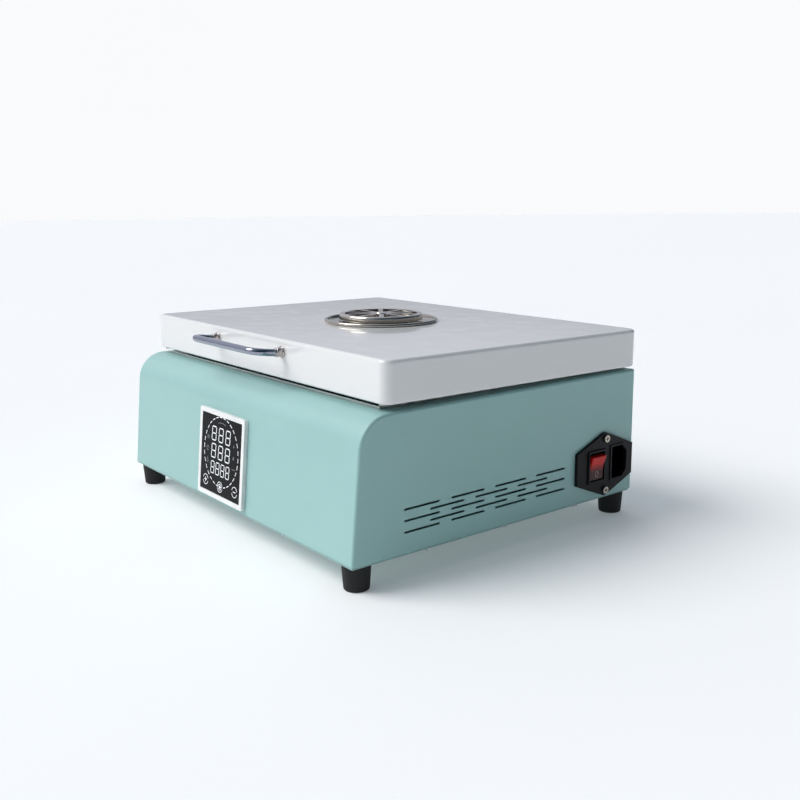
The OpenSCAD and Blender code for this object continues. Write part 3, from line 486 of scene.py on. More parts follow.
vent_axis = (sum((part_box("vent_flange")[k] for k in (0, 1)), Vector()) / 2)
FLANGE_AT = (vent_axis.x, vent_axis.y, 0.0)
rocker_low, rocker_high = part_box("power_rocker")
# Heights on the rocker where its red goes from painted shade below to painted light above.
ROCKER_SHADED_BELOW = rocker_low.z + 0.35 * (rocker_high.z - rocker_low.z)
ROCKER_LIT_ABOVE = rocker_low.z + 0.68 * (rocker_high.z - rocker_low.z)

TEAL = powder_coat("teal_powder_coat", (0.325, 0.55, 0.528), (0.43, 0.65, 0.63))
# The bottom pan gets a darker copy of the body's teal powder coat: painted shade under the base.
TEAL_SHADED = powder_coat("teal_powder_coat_painted_shade", (0.25, 0.42, 0.405), (0.36, 0.54, 0.52))
WHITE = enamel("white_stoved_enamel", (0.83, 0.83, 0.825))
STAINLESS = metal("brushed_stainless", (0.6, 0.595, 0.58), 0.24, 520, (0.12, 3.0, 3.0), 0.003)
# The liner steel is a much darker copy of the stainless, darker grain included: painted shade for the dark gap between
# lid and base.
LINER_STEEL_SHADED = metal("liner_stainless_painted_shade", (0.34, 0.335, 0.33), 0.34, 480, (0.15, 2.4, 2.4), 0.004, tint=(0.26, 0.25, 0.23))
DUCT_STEEL = metal("duct_stainless", (0.5, 0.49, 0.47), 0.36, 300, (2.0, 2.0, 0.2), 0.006)
# The vent ring's spun steel is a darker, browner copy of the cap's: painted shade for the dark reflections under the
# cap.
SPUN = spun_metal("spun_stainless", (0.5, 0.465, 0.42), FLANGE_AT, 0.12)
SPUN_FINE = spun_metal("spun_stainless_cap", (0.6, 0.565, 0.52), FLANGE_AT, 0.1)
CHROME = metal("chrome_plate", (0.34, 0.36, 0.43), 0.04, 1400, (1, 1, 1), 0.0008, 0.05, (0.28, 0.3, 0.37), 0.3)
FERRULE = metal("bright_nickel", (0.56, 0.5, 0.49), 0.14, 1600, (1, 1, 1), 0.0015, 0.1)
ZINC = metal("zinc_plated_steel", (0.52, 0.53, 0.54), 0.32, 1900, (1, 1, 1), 0.004, 0.16, (0.4, 0.41, 0.43))
SCREW_GREY = metal("nickel_screw", (0.52, 0.48, 0.42), 0.24, 2400, (1, 1, 1), 0.003, 0.16, (0.36, 0.32, 0.27))
BRASS = metal("brass", (0.62, 0.5, 0.27), 0.26, 1400, (1, 1, 1), 0.003)
PIN = metal("plated_blade", (0.78, 0.76, 0.7), 0.2, 1400, (1, 1, 4), 0.002)
ALUMINIUM = metal("ground_aluminium", (0.55, 0.56, 0.57), 0.36, 640, (3.0, 0.16, 3.0), 0.006, 0.16, (0.44, 0.44, 0.44))
HEATER = heater_finish()
RUBBER = plastic("black_rubber", (0.0085, 0.0085, 0.009), (0.035, 0.035, 0.036), 0.62, 2400, 0.014, 0.5,
                 Specular_IOR_Level=0.35)
BEZEL = plastic("white_abs", (0.82, 0.82, 0.805), (0.88, 0.88, 0.87), 0.3, 3800, 0.003, 0.4)
BLACK = plastic("black_moulded_plastic", (0.004, 0.004, 0.0055), (0.014, 0.014, 0.017), 0.34, 3000, 0.005, 0.5,
              Specular_IOR_Level=0.16)
FAN_BLACK = plastic("fan_plastic", (0.016, 0.016, 0.017), (0.05, 0.05, 0.052), 0.4, 2600, 0.006)
TERMINAL = plastic("terminal_plastic", (0.03, 0.03, 0.032), (0.09, 0.09, 0.09), 0.45, 2200, 0.01)
RELAY = plastic("relay_case", (0.62, 0.61, 0.57), (0.7, 0.69, 0.66), 0.4, 2600, 0.005)
RED = rocker_finish()
GLASS = dark_glass()
INK = print_ink("display_ink", (0.7, 0.71, 0.73), (0.9, 0.93, 1.0), 0.42)
INK_FAINT = print_ink("display_ink_faint", (0.2, 0.2, 0.22), (0.9, 0.93, 1.0), 0.06)
# The switch mark is given a faint glow with nothing lit behind it: painted light.
MARK = print_ink("switch_mark", (0.3, 0.17, 0.165), (1.0, 0.8, 0.8), 0.01)
BOARD = board_finish()
RIBBON = ribbon_finish()
MINERAL = fibre("mineral_fibre_board", (0.7, 0.66, 0.56), (0.5, 0.45, 0.36), 700, 0.05)
CERAMIC = fibre("ceramic", (0.72, 0.69, 0.62), (0.6, 0.56, 0.49), 1500, 0.006, 0.55)
# The lid gasket's silicone is made near-black so that the gap under the lid shows dark: painted shade.
SILICONE_SHADED = plastic("silicone_painted_shade", (0.03, 0.031, 0.033), (0.07, 0.07, 0.073), 0.6, 2000, 0.01)
SLEEVE = plastic("wire_sleeve", (0.42, 0.12, 0.03), (0.55, 0.22, 0.08), 0.5, 1500, 0.02)
CUTOUT = plastic("cutout_phenolic", (0.04, 0.035, 0.032), (0.1, 0.09, 0.085), 0.4, 2200, 0.006)

# ---------------------------------------------------------------- base shell
BEND_R = 23.0
BEND_Z = BODY_TOP - BEND_R
BEND_Y = (BEND_R + math.sin(LEAN) * BEND_Z) / math.cos(LEAN)
REAR = BODY_DEPTH - SHEET
LEAN_ROWS, BEND_ROWS, TOP_ROWS, CREASE_STEPS, ROLL_STEPS = 14, 40, 6, 8, 4
ROLL_R = 0.9
CREASE_OUTSIDE, CREASE_INSIDE = 2.0, 0.8
OPENING_W, OPENING_D = 209, 169
SLOT_L, SLOT_W, SLOT_PITCH, SLOT_ROW, SLOT_TOP = 30, 1.5, 39.8, 3.85, 30.9
LONG_ROW, SHORT_ROW = (4, 41.3), (3, 62.8)


def shell_skin(inset, crease, rolled):
    """Rows of points over the shell from its front bottom edge to its rear top edge, each row from
    the left wall round to the right wall. inset moves the skin inwards for the inner face, and
    crease is the radius along its side edges."""
    half = HALF_W - inset
    rows = []
    levels = []
    if rolled:
        for i in range(ROLL_STEPS):
            b = math.pi / 2 * i / ROLL_STEPS
            levels.append((SHEET + ROLL_R - ROLL_R * math.cos(b), ROLL_R - ROLL_R * math.sin(b)))
    else:
        for i in range(ROLL_STEPS):
            levels.append((SHEET + ROLL_R * i / ROLL_STEPS, 0.0))
    bend_start = BEND_Z + BEND_R * math.sin(LEAN)
    for i in range(LEAN_ROWS):
        levels.append((SHEET + ROLL_R + (bend_start - 0.5 - SHEET - ROLL_R) * i / (LEAN_ROWS - 1), 0.0))
    stations = [("lean", z, e) for z, e in levels]
    stations += [("bend", i / BEND_ROWS, 0.0) for i in range(BEND_ROWS + 1)]
    stations += [("top", (i + 1) / TOP_ROWS, 0.0) for i in range(TOP_ROWS)]
    for kind, t, e in stations:
        row = []
        for side in (-1, 1):
            for step in range(CREASE_STEPS + 1):
                turn_share = step if side == 1 else CREASE_STEPS - step
                a = math.pi / 2 * turn_share / CREASE_STEPS
                r = crease
                x = half - r + r * math.sin(a) - e * math.sin(a)
                deep = inset + r - r * math.cos(a) + e * math.cos(a)
                if kind == "lean":
                    p = (side * x, t * math.tan(LEAN) + deep / math.cos(LEAN), t)
                elif kind == "bend":
                    way = (math.pi - LEAN) + (math.pi / 2 - (math.pi - LEAN)) * t
                    radius = BEND_R - deep
                    p = (side * x, BEND_Y + radius * math.cos(way), BEND_Z + radius * math.sin(way))
                else:
                    p = (side * x, BEND_Y + (REAR - BEND_Y) * t, BODY_TOP - deep)
                row.append(p)
        rows.append(row)
    return rows


def build_shell():
    s = Shape()
    outer = shell_skin(0.0, CREASE_OUTSIDE, True)
    inner = shell_skin(SHEET, CREASE_INSIDE, False)
    n, m = len(outer[0]), len(outer)
    both = [p for row in outer for p in row] + [p for row in inner for p in row]
    faces = []
    skin = n * m
    for base, flip in ((0, False), (skin, True)):
        for j in range(m - 1):
            for i in range(n - 1):
                q = (base + j * n + i, base + j * n + i + 1, base + (j + 1) * n + i + 1, base + (j + 1) * n + i)
                faces.append(q[::-1] if flip else q)
    # Points down the rear edge of each wall, one for each row of the bottom roll
    extra = {}
    for name, rows in (("outer", outer), ("inner", inner)):
        for side, col in ((-1, 0), (1, n - 1)):
            extra[name, side] = []
            for j in range(ROLL_STEPS + 1):
                x, _, z = rows[j][col]
                extra[name, side].append(len(both))
                both.append((x, REAR, z))
    for name, base in (("outer", 0), ("inner", skin)):
        for side, col in ((-1, 0), (1, n - 1)):
            column = [base + j * n + col for j in range(m)]
            rear = extra[name, side]
            for j in range(ROLL_STEPS):
                faces.append((column[j], column[j + 1], rear[j + 1], rear[j]))
            faces.append(tuple(column[ROLL_STEPS:]) + (rear[ROLL_STEPS],))
    # Cut edges of the sheet: along the bottom, and up and over at the back
    for side, col in ((-1, 0), (1, n - 1)):
        o, i = extra["outer", side], extra["inner", side]
        faces.append((col, o[0], i[0], skin + col))
        for j in range(ROLL_STEPS):
            faces.append((o[j], o[j + 1], i[j + 1], i[j]))
        faces.append((o[-1], (m - 1) * n + col, skin + (m - 1) * n + col, i[-1]))
    for i in range(n - 1):
        faces.append((i, i + 1, skin + i + 1, skin + i))
        top = (m - 1) * n + i
        faces.append((top, top + 1, skin + top + 1, skin + top))
    s.add(both, faces)
    return s.mesh("body_cover", Matrix.Identity(4))


def shell_cutters():
    s = Shape()
    s.block((OPENING_W, OPENING_D, 10), (0, LID_MID, BODY_TOP))
    for side in (-1, 1):
        wall = shift(side * HALF_W, 0, 0) @ turn(90, "Z") @ turn(90, "X")
        for row in range(5):
            count, start = LONG_ROW if row % 2 == 0 else SHORT_ROW
            for i in range(count):
                centre = shift(start + SLOT_L / 2 + i * SLOT_PITCH, SLOT_TOP - row * SLOT_ROW, 0)
                s.prism(slot_outline(SLOT_L, SLOT_W), -6, 6, wall @ centre)
    s.block((46.4, 27.4, 12), (0, 0, 0), ON_RIGHT @ shift(INLET_BACK, INLET_UP, 0))
    s.block((55, 53, 20), (0, 0, 0), ON_FRONT @ shift(DISPLAY_X, DISPLAY_UP, 0))
    return s.mesh("shell_cutters", Matrix.Identity(4))


shell = link("body_cover_work", build_shell())
cut(shell, shell_cutters())
shell_mesh = shell.data.copy()
shell_mesh.transform(PLACED)
bpy.data.objects.remove(shell)
piece("body_cover", shell_mesh, None, TEAL, "base", ["body_shell"], 24)

# ---------------------------------------------------------------- lid shell


def lid_ring(inset, z, corner=7.5):
    r = max(corner - inset, 1.2)
    return [(x, y, z) for x, y in rounded_outline(2 * (HALF_W - inset), LID_DEPTH - 2 * inset, r, 14)]


def hole_ring(r, z):
    out = []
    for x, y, _ in lid_ring(0, 0):
        a = math.atan2(y, x)
        out.append((r * math.cos(a), r * math.sin(a), z))
    return out


def build_lid():
    top_r, low_r = 2.7, 1.5
    path = [(9.0, 1.0), (9.0, 0.25), (8.75, 0.0)]
    path += [(low_r - low_r * math.sin(a), low_r - low_r * math.cos(a))
             for a in (math.pi / 2 * i / 6 for i in range(7))]
    path += [(0.0, z) for z in (8.0, 16.0, 22.0)]
    path += [(top_r - top_r * math.cos(a), LID_H - top_r + top_r * math.sin(a))
             for a in (math.pi / 2 * i / 8 for i in range(9))]
    rings = [lid_ring(i, z) for i, z in path]
    rings += [hole_ring(46, LID_H), hole_ring(30.6, LID_H), hole_ring(30.2, LID_H - 0.4), hole_ring(30.2, LID_H - 1)]
    rings += [lid_ring(2.6, LID_H - 1), lid_ring(1.4, LID_H - 1.5), lid_ring(1.0, LID_H - 2.8), lid_ring(1.0, 1.0)]
    return Shape().rings(rings, closed=True)


piece("lid_cover", build_lid(), LID, WHITE, "lid", ["lid_shell"], 30)

# ---------------------------------------------------------------- feet


def build_feet():
    s = Shape()
    profile = [(2.2, 17.99), (8.8, 17.99), (9.45, 17.7), (9.72, 17.1), (9.7, 16.4)]
    profile += [(9.7 - 1.05 * t, 16.4 - 14.6 * t) for t in (0.2, 0.45, 0.7, 0.9)]
    profile += [(8.62, 1.7), (8.55, 1.0), (8.25, 0.4), (7.7, 0.08), (6.9, 0.0), (5.4, 0.0), (4.75, 0.35), (4.6, 1.0),
                (4.6, 12.6), (4.2, 13.0), (2.2, 13.0), (2.2, 17.99)]
    for x in (-1, 1):
        for y in (11.4, BODY_DEPTH - 9):
            s.lathe(profile, shift(x * (HALF_W - 11.7), y, -18), 72)
    return s


piece("rubber_feet", build_feet(), PLACED, RUBBER, "base", ["feet"], 40)

# ---------------------------------------------------------------- display graphics
SEGMENTS = {"a": ((-1, 1), (1, 1)), "b": ((1, 1), (1, 0)), "c": ((1, 0), (1, -1)), "d": ((-1, -1), (1, -1)),
            "e": ((-1, 0), (-1, -1)), "f": ((-1, 1), (-1, 0)), "g": ((-1, 0), (1, 0))}
INK_LOW, INK_HIGH = 2.69, 2.76


def bar_outline(x0, y0, x1, y1, width, pull):
    """A bar with pointed ends between two points, drawn back by pull at each end."""
    way = Vector((x1 - x0, y1 - y0)).normalized()
    across = Vector((-way.y, way.x)) * width / 2
    a, b = Vector((x0, y0)) + way * pull, Vector((x1, y1)) - way * pull
    tip = way * width / 2
    return [tuple(p) for p in (a, a + tip + across * -1, b - tip - across, b, b - tip + across, a + tip + across)]


def add_digit(s, cx, cy, w, h, width):
    slant = 0.07
    for (ax, ay), (bx, by) in SEGMENTS.values():
        pts = []
        for px, py in ((ax, ay), (bx, by)):
            y = cy + py * (h - width) / 2
            pts.append((cx + px * (w - width) / 2 + slant * (y - cy), y))
        s.prism(bar_outline(*pts[0], *pts[1], width, 0.2), INK_LOW, INK_HIGH)


def add_arc(s, cx, cy, r, width, start, end, steps):
    outline = arc(cx, cy, r + width / 2, start, end, steps) + arc(cx, cy, r - width / 2, end, start, steps)
    s.prism(outline, INK_LOW, INK_HIGH)


def add_box(s, x, y, across, up):
    """A small printed bar, given by its spans from the point x, y."""
    (x0, x1), (y0, y1) = across, up
    s.prism([(x + x0, y + y0), (x + x1, y + y0), (x + x1, y + y1), (x + x0, y + y1)], INK_LOW, INK_HIGH)


def build_graphics():
    s = Shape()
    for i in range(30):
        middle = 90 + i * 12 + 4
        add_arc(s, 0.1, 3.1, 26.4, 0.7, middle - 3.7, middle + 3.7, 5)
    for x in (-11.3, -0.5, 10.3):
        add_digit(s, x, 15.9, 7.2, 11.2, 0.85)
        add_digit(s, x, 2.6, 7.2, 11.2, 0.85)
    for x in (-12.2, -4.4, 3.4, 11.2):
        add_digit(s, x, -10.3, 5.8, 9.8, 0.75)
    # Touch keys: plus, start, minus
    for x, y in ((-22.5, -21.9), (0.4, -23.3), (23.0, -22.1)):
        add_arc(s, x, y, 3.9, 0.5, 15, 165, 20)
        add_arc(s, x, y, 3.9, 0.5, 195, 345, 20)
    add_box(s, -22.5, -21.9, (-0.35, 0.35), (-1.9, 1.9))
    add_box(s, -22.5, -21.9, (0.36, 1.9), (-0.35, 0.35))
    add_box(s, -22.5, -21.9, (-1.9, -0.36), (-0.35, 0.35))
    s.prism([(x + 0.4, y - 23.3) for x, y in arc(0, 0, 1.15, 0, 345, 23)], INK_LOW, INK_HIGH)
    add_arc(s, 0.4, -23.3, 2.2, 0.55, 20, 160, 14)
    add_arc(s, 0.4, -23.3, 2.2, 0.55, 200, 340, 14)
    add_box(s, 23.0, -22.1, (-1.9, 1.9), (-0.35, 0.35))
    return s


def build_faint_graphics():
    s = Shape()
    # Small status signs: rising heat, a dial, a drop and a thermometer, and short rules
    for i in range(3):
        wave = ((0, -1.5), (0.45, -1.5), (0.75, 0), (0.45, 1.5), (0, 1.5), (0.3, 0))
        s.prism([(-21.9 + i * 1.2 + a, 11.8 + b) for a, b in wave], INK_LOW, INK_HIGH)
    add_arc(s, -20.8, 3.0, 1.7, 0.5, 0, 330, 24)
    s.prism([(-21.0, 3.0), (-20.6, 3.0), (-20.6, 4.2), (-21.0, 4.2)], INK_LOW, INK_HIGH)
    add_arc(s, -20.5, -6.6, 1.2, 0.5, 120, 420, 24)
    s.prism([(-20.8, -5.2), (-20.2, -5.2), (-20.2, -3.6), (-20.8, -3.6)], INK_LOW, INK_HIGH)
    s.prism([(18.9, 10.4), (20.3, 10.4), (19.6, 12.9)], INK_LOW, INK_HIGH)
    s.prism([(18.6, 1.5), (20.6, 1.5), (19.6, 4.2)], INK_LOW, INK_HIGH)
    for i in range(4):
        add_box(s, 17.7 + i * 1.3, -5.9, (0, 0.9), (-0.3, 0.3))
    for i in range(9):
        a = 105 - i * 3.6
        add_arc(s, 0.1, 3.1, 22.2, 0.6, a - 2.4, a, 2)
    return s


piece("display_graphics", build_graphics(), DISPLAY, INK, "base", (), 30)
piece("display_signs", build_faint_graphics(), DISPLAY, INK_FAINT, "base", (), 30)

# ---------------------------------------------------------------- vent
CAP_Z, CAP_H = 30.95, 4.2


def disc_with_wedges(outer_r, inner_wedge, outer_wedge, low, high, spoke, bore, count=10):
    """A flat disc between low and high, pierced by count openings with spokes between them. The spokes
    have to fit side by side round inner_wedge, or nothing of the disc is left."""
    base = Shape().lathe([(bore, low), (outer_r, low), (outer_r, high), (bore, high)], None, 120, closed=True)
    body = link("disc_work", base.mesh("disc_work", Matrix.Identity(4)))
    tools = Shape()
    for i in range(count):
        middle = (i + 0.5) * 360 / count
        half_out = 180 / count - math.degrees(spoke / 2 / outer_wedge)
        half_in = 180 / count - math.degrees(spoke / 2 / inner_wedge)
        a0, a1 = middle - half_out, middle + half_out
        b0, b1 = middle - half_in, middle + half_in
        outline = arc(0, 0, outer_wedge, a0 + 1.4, a1 - 1.4, 10)
        outline += arc(0, 0, inner_wedge, b1 - 3, b0 + 3, 4)
        tools.prism(outline, low - 2, high + 2)
    cut(body, tools.mesh("wedge_tools", Matrix.Identity(4)))
    mesh = body.data.copy()
    bpy.data.objects.remove(body)
    return mesh


def joined(*parts):
    """One mesh from several, each a mesh or a Shape."""
    work = bmesh.new()
    for part in parts:
        work.from_mesh(part.mesh("part", Matrix.Identity(4)) if isinstance(part, Shape) else part)
    out = bpy.data.meshes.new("joined")
    work.to_mesh(out)
    work.free()
    return out


def build_flange():
    """Fixed flange: a flat ring with a rolled rim and eight upright tabs. The pierced middle of the CAD flange isn't
    made here, which is an open fault."""
    ring = Shape()
    profile = [(33.9, LID_H + 0.8), (40.5, LID_H + 0.82), (43.2, LID_H + 1.0)]
    profile += arc(44.55, LID_H + 1.3, 1.3, 150, -120, 18)
    profile += [(43.6, LID_H + 0.02), (40.0, LID_H + 0.01), (33.9, LID_H + 0.01)]
    ring.lathe(profile, None, 160, closed=True)
    tabs = Shape()
    for i in range(8):
        tab = turn(i * 45, "Z") @ shift(31.4, 0, LID_H + 2.2) @ turn(90, "Z") @ turn(90, "X")
        tabs.prism(rounded_outline(5.0, 3.1, 0.4, 3), -0.4, 0.4, tab)
    return joined(ring, tabs)


def build_cap():
    """Turning cap: spoked top inside a rounded band, and the hub under it."""
    top = CAP_Z + CAP_H
    disc = disc_with_wedges(30.9, 9.5, 29.2, top - 0.95, top - 0.3, 2.6, 2.55)
    band = Shape()
    profile = [(30.6, top - 0.95), (30.6, top - 0.3), (31.2, top - 0.06)] + arc(32.0, top - 2.0, 2.0, 90, 0, 12)
    profile += [(34.0, CAP_Z - 0.3), (33.85, CAP_Z - 0.7), (33.45, CAP_Z - 0.85), (33.05, CAP_Z - 0.7),
                (32.9, CAP_Z - 0.2)]
    profile += [(32.9, top - 2.0), (32.6, top - 1.3), (32.0, top - 1.0), (31.2, top - 0.95)]
    band.lathe(profile, None, 160, closed=True)
    hub = Shape()
    hub.lathe([(2.55, CAP_Z - 0.7), (5.6, CAP_Z - 0.7), (6.0, CAP_Z - 0.3), (6.0, top - 1.4), (7.4, top - 1.3),
               (8.2, top - 0.95), (8.0, top - 0.5), (7.0, top - 0.3), (5.4, top - 0.35), (4.9, top - 0.8),
               (2.55, top - 0.85)], None, 72, closed=True)
    return joined(disc, band, hub)


def build_pivot():
    top = CAP_Z + CAP_H - 0.8
    return Shape().lathe([(0.0, 26.4), (4.3, 26.4), (4.5, 26.6), (4.5, 28.3), (2.5, 28.4), (2.5, top),
                          (4.2, top + 0.05), (4.6, top + 0.4), (4.3, top + 0.85), (3.2, top + 1.15),
                          (1.4, top + 1.25), (0.0, top + 1.27)], None, 64)


flange_mesh, cap_mesh = build_flange(), build_cap()
for mesh in (flange_mesh, cap_mesh):
    mesh.transform(LID)
piece("vent_ring", flange_mesh, None, SPUN, "lid", ["vent_flange"], 30)
piece("vent_cap_spun", cap_mesh, None, SPUN_FINE, "vent", ["vent_cap"], 30)
piece("vent_rivet", build_pivot(), LID, SPUN_FINE, "lid", ["vent_pivot"], 30)

# ---------------------------------------------------------------- handle
HANDLE_X, HANDLE_Z, PITCH, REACH = -4.0, 19.5, 96.0, 22.5
POST, BAR_R = 6.0, 2.6
BOW_RISE = math.tan(math.radians(7.5))
HANDLE = LID @ shift(HANDLE_X, -LID_DEPTH / 2, HANDLE_Z)


def build_handle():
    """A chromed bow, thicker in the middle of its grip, that rises a little beyond its posts."""
    half, bend = PITCH / 2, 9.0
    path = [(-half, -5.0 - i * 0.9, 0) for i in range(12)]
    path = [p for p in path if p[1] > -(REACH - bend)]
    path += [(-half + bend - bend * math.cos(a), -(REACH - bend) - bend * math.sin(a), 0)
             for a in (math.pi / 2 * i / 14 for i in range(15))]
    grip = [(-half + bend + (PITCH - 2 * bend) * (i + 1) / 30, -REACH, 0) for i in range(29)]
    left = list(path)
    right = [(-x, y, z) for x, y, z in reversed(left)]
    path = left + grip + right
    radii = []
    for x, y, z in path:
        share = min(abs(x) / (half - 6), 1.0)
        radii.append(BAR_R + 0.12 * (1 - share ** 2.5) if y < -REACH + 0.5 else BAR_R)
    path = [(x, y, max(-y - POST, 0.0) * BOW_RISE) for x, y, z in path]
    return Shape().tube(path, radii, None, 36)


def build_ferrules():
    s = Shape()
    profile = [(2.2, 0.0), (3.9, 0.0), (4.2, 0.25), (4.2, 1.0), (3.95, 1.35), (3.5, 1.5), (3.4, 1.8), (3.4, 4.3),
               (3.25, 4.7), (3.0, 4.85), (3.0, 5.0), (3.1, 5.2), (3.1, 6.0), (2.95, 6.3), (2.62, 6.4), (2.2, 6.3)]
    for side in (-1, 1):
        s.lathe(profile, shift(side * PITCH / 2, 0, 0) @ turn(90, "X"), 72, closed=True)
    return s


piece("handle_bow", build_handle(), HANDLE, CHROME, "lid", ["handle_bar"], 40)
piece("handle_collars", build_ferrules(), HANDLE, FERRULE, "lid", ["handle_ferrules"], 34)

# ---------------------------------------------------------------- mains switch
PIVOT, DISH = -1.5, 1.3
ROCKER = INLET @ shift(-10, 0, PIVOT) @ turn(10, "X")


def build_rocker():
    """The rocker's curved key top, from one end to the other, with rounded ends and sides."""
    half, rise, width, side_r = 9.5, 6.2, 15.0, 0.9
    top = []
    for i in range(25):
        y = -half + 2 * half * i / 24
        v = abs(y) / half
        curve = (math.sqrt(v * v + 0.02) - math.sqrt(0.02)) / (math.sqrt(1.02) - math.sqrt(0.02))
        top.append((y, rise - DISH + DISH * curve))
    left, right = top[0], top[-1]
    outline = [(left[0] + 0.02, left[1] - 0.5), (left[0] + 0.2, left[1] - 0.12)] + [(y, z) for y, z in top[1:-1]]
    outline += [(right[0] - 0.2, right[1] - 0.12), (right[0] - 0.02, right[1] - 0.5)]
    outline += [(half - 0.3, 1.0), (3.0, -2.8), (-3.0, -2.8), (-half + 0.3, 1.0)]
    cx = sum(p[0] for p in outline) / len(outline)
    cz = 2.0
    rings = []
    for x, pull in [(-width / 2, side_r), (-width / 2 + 0.12, 0.45), (-width / 2 + 0.4, 0.14), (-width / 2 + 0.9, 0.0),
                    (width / 2 - 0.9, 0.0), (width / 2 - 0.4, 0.14), (width / 2 - 0.12, 0.45), (width / 2, side_r)]:
        ring = []
        for y, z in outline:
            away = Vector((y - cx, z - cz))
            k = max(away.length - pull, 0.1) / max(away.length, 0.1)
            ring.append((x, cx + away.x * k, cz + away.y * k))
        rings.append(ring)
    s = Shape().rings(rings, None, cap_start=True, cap_end=True)
    pin = width / 2 + 2
    s.lathe([(0.0, -pin), (1.4, -pin), (1.5, 0.1 - pin), (1.5, pin - 0.1), (1.4, pin), (0.0, pin)], turn(90, "Y"), 40)
    return s


def build_mark():
    """The ring that stands for off, on the rocker's lower half."""
    s = Shape()
    slope = math.degrees(math.atan2(DISH, 9.5))
    tilt = shift(0, -5.0, 5.57) @ turn(-slope, "X")
    outline_out = [(1.9 * x, 2.5 * y) for x, y in arc(0, 0, 1, 0, 350, 35)]
    outline_in = [(1.25 * x, 1.85 * y) for x, y in arc(0, 0, 1, 0, 350, 35)]
    levels = ((outline_in, -0.2), (outline_out, -0.2), (outline_out, 0.08), (outline_in, 0.08))
    rings = [[(x, y, z) for x, y in outline] for outline, z in levels]
    s.rings(rings, tilt, closed=True)
    return s


piece("rocker_key", build_rocker(), ROCKER, RED, "rocker", ["power_rocker"], 28)
piece("rocker_ring_mark", build_mark(), ROCKER, MARK, "rocker", (), 30)

# ---------------------------------------------------------------- CAD nodes that keep their shape
for node, material, bevel in (
    ("rear_panel", TEAL, None), ("bottom_pan", TEAL_SHADED, None),
    ("display_bezel", BEZEL, 0.45), ("touch_glass", GLASS, 0.12), ("display_board", BOARD, None),
    ("display_ribbon", RIBBON, None), ("inlet_housing", BLACK, 0.35), ("inlet_pins", PIN, 0.25),
    ("inlet_screws", SCREW_GREY, 0.15), ("chamber_trim", STAINLESS, None), ("trim_screws", SCREW_GREY, 0.15),
    ("heating_plate", ALUMINIUM, None), ("heater_rods", HEATER, None), ("thermocouple", ZINC, None),
    ("thermal_cutout", CUTOUT, None), ("plate_standoffs", CERAMIC, None), ("standoff_nuts", ZINC, None),
    ("insulation_board", MINERAL, None), ("heat_shield", LINER_STEEL_SHADED, None), ("control_board", BOARD, None),
    ("board_spacers", BRASS, None), ("solid_state_relay", RELAY, 0.5), ("relay_heatsink", ALUMINIUM, None),
    ("terminal_block", TERMINAL, 0.3), ("earth_stud", BRASS, None), ("inner_screws", ZINC, None),
    ("wiring", SLEEVE, None), ("fan_frame", FAN_BLACK, None), ("fan_rotor", FAN_BLACK, None),
    ("fan_screws", ZINC, 0.15), ("liner_roof", LINER_STEEL_SHADED, None), ("liner_walls", LINER_STEEL_SHADED, None),
    ("lid_insulation", MINERAL, None), ("lid_gasket", SILICONE_SHADED, 0.8), ("liner_screws", SCREW_GREY, 0.15),
    ("vent_duct", DUCT_STEEL, None), ("vent_shutter", STAINLESS, None), ("handle_screws", ZINC, None),
    ("hinge_leaves_base", ZINC, 0.25), ("hinge_leaves_lid", ZINC, 0.25), ("hinge_pins", ZINC, 0.2),
    ("hinge_screws_base", ZINC, 0.15), ("hinge_screws_lid", ZINC, 0.15), ("foot_screws", ZINC, 0.15),
    ("foot_nuts", ZINC, None), ("shell_screws", ZINC, 0.15), ("rear_screws", ZINC, 0.15),
):
    dress(node, material, bevel)

# ---------------------------------------------------------------- floor, light and camera


def build_stage():
    """A pale floor and, far off all round, a pale backdrop that only the camera sees."""
    floor = Shape()
    floor.lathe([(0.0, 0.0), (12.0, 0.0)], None, 96)
    f = Finish("studio_floor", Specular_IOR_Level=0.1, Emission_Color=(0.95, 0.99, 1.0, 1),
               Emission_Strength=0.16)
    f.colour(f.mix(f.span(f.noise(1.4, 3, 0.5), 0.3, 0.7, 0.0, 1.0), (0.9, 0.9, 0.9), (0.915, 0.915, 0.915)))
    f.rough(f.span(f.noise(40, 3, 0.5), 0.3, 0.7, 0.7, 0.8))
    ground = link("studio_floor", floor.mesh("studio_floor", Matrix.Identity(4)))
    ground.data.materials.append(f.material)
    sweep = Shape()
    sweep.lathe([(12.0 * math.cos(a), 12.0 * math.sin(a)) for a in (math.pi / 2 * i / 24 for i in range(25))], None, 96)
    b = Finish("studio_backdrop", Base_Color=(0, 0, 0, 1), Roughness=1.0, Specular_IOR_Level=0.0,
               Emission_Strength=1.0)
    b.put(b.shader.inputs["Emission Color"],
          b.mix(b.span(b.noise(0.3, 2, 0.5), 0.3, 0.7, 0.0, 1.0), (0.96, 0.965, 0.975), (0.95, 0.955, 0.965)))
    wall = link("studio_backdrop", sweep.mesh("studio_backdrop", Matrix.Identity(4)))
    wall.data.materials.append(b.material)
    wall.visible_diffuse = wall.visible_glossy = wall.visible_transmission = wall.visible_shadow = False


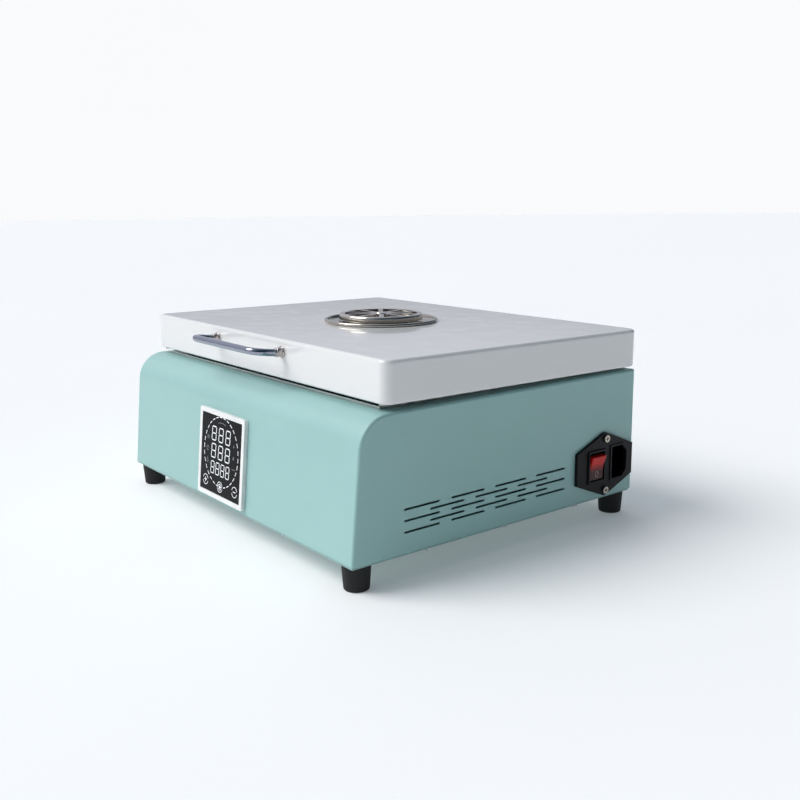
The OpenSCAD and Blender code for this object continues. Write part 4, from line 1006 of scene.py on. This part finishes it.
def build_world():
    """The studio's own light: dim by the right side and low down, brighter overhead and to the left."""
    world = bpy.data.worlds.new("studio")
    bpy.context.scene.world = world
    world.use_nodes = True
    tree = world.node_tree
    back = tree.nodes["Background"]
    place = tree.nodes.new("ShaderNodeTexCoord").outputs["Generated"]

    def ramp(value, stops):
        node = tree.nodes.new("ShaderNodeValToRGB")
        tree.links.new(value, node.inputs["Fac"])
        points = node.color_ramp.elements
        for point, (position, colour) in zip((points[0], points[1]), (stops[0], stops[-1])):
            point.position, point.color = position, (*colour, 1)
        for position, colour in stops[1:-1]:
            points.new(position).color = (*colour, 1)
        return node.outputs["Color"]

    def toward(direction):
        dot = tree.nodes.new("ShaderNodeVectorMath")
        dot.operation = "DOT_PRODUCT"
        tree.links.new(place, dot.inputs[0])
        dot.inputs[1].default_value = Vector(direction).normalized()
        half = tree.nodes.new("ShaderNodeMath")
        half.operation = "MULTIPLY_ADD"
        tree.links.new(dot.outputs["Value"], half.inputs[0])
        half.inputs[1].default_value = half.inputs[2].default_value = 0.5
        return half.outputs[0]

    height = ramp(toward((0, 0, 1)), [(0.0, (0.3, 0.3, 0.3)), (0.49, (0.3, 0.3, 0.31)), (0.54, (0.32, 0.33, 0.36)),
                                      (0.6, (0.62, 0.64, 0.72)), (0.75, (0.6, 0.63, 0.7)), (1.0, (0.7, 0.72, 0.78))])
    left = ramp(toward((-1.0, -0.35, 0.1)), [(0.0, (0.05, 0.08, 0.1)), (0.4, (0.13, 0.195, 0.235)),
                                             (0.7, (1.0, 1.0, 1.0)), (1.0, (1.15, 1.15, 1.15))])
    both = tree.nodes.new("ShaderNodeMix")
    both.data_type, both.blend_type = "RGBA", "MULTIPLY"
    both.inputs[0].default_value = 1.0
    tree.links.new(height, both.inputs[6])
    tree.links.new(left, both.inputs[7])
    tree.links.new(both.outputs[2], back.inputs["Color"])
    back.inputs["Strength"].default_value = 1.0


def sun_light(name, direction, strength, spread, colour=(1, 1, 1)):
    """An even light from far off, from direction, its disc spread degrees across."""
    data = bpy.data.lights.new(name, "SUN")
    data.energy, data.angle, data.color = strength, math.radians(spread), colour
    obj = bpy.data.objects.new(name, data)
    bpy.context.scene.collection.objects.link(obj)
    obj.rotation_mode = "QUATERNION"
    obj.rotation_quaternion = Vector(direction).to_track_quat("Z", "Y")
    return obj


def build_camera():
    az, el, roll = math.radians(52.23), math.radians(11.92), math.radians(-0.67)
    back = Vector((math.sin(az) * math.cos(el), -math.cos(az) * math.cos(el), math.sin(el)))
    across = Vector((0, 0, 1)).cross(back).normalized()
    up = back.cross(across)
    x = math.cos(roll) * across + math.sin(roll) * up
    y = -math.sin(roll) * across + math.cos(roll) * up
    data = bpy.data.cameras.new("camera")
    data.sensor_width, data.lens = 36.0, 43.38
    data.clip_start, data.clip_end = 0.01, 100.0
    camera = bpy.data.objects.new("camera", data)
    bpy.context.scene.collection.objects.link(camera)
    turned = Matrix((x, y, back)).transposed().to_4x4()
    camera.matrix_world = Matrix.Translation(CORNER + Vector((627.1, -319.0, 226.2)) * MM) @ turned
    bpy.context.scene.camera = camera


build_stage()
build_world()
sun_light("key", (-0.42, -0.58, 0.76), 2.12, 40, (1.0, 0.985, 0.96))
build_camera()
bpy.context.scene.view_settings.view_transform = "Standard"
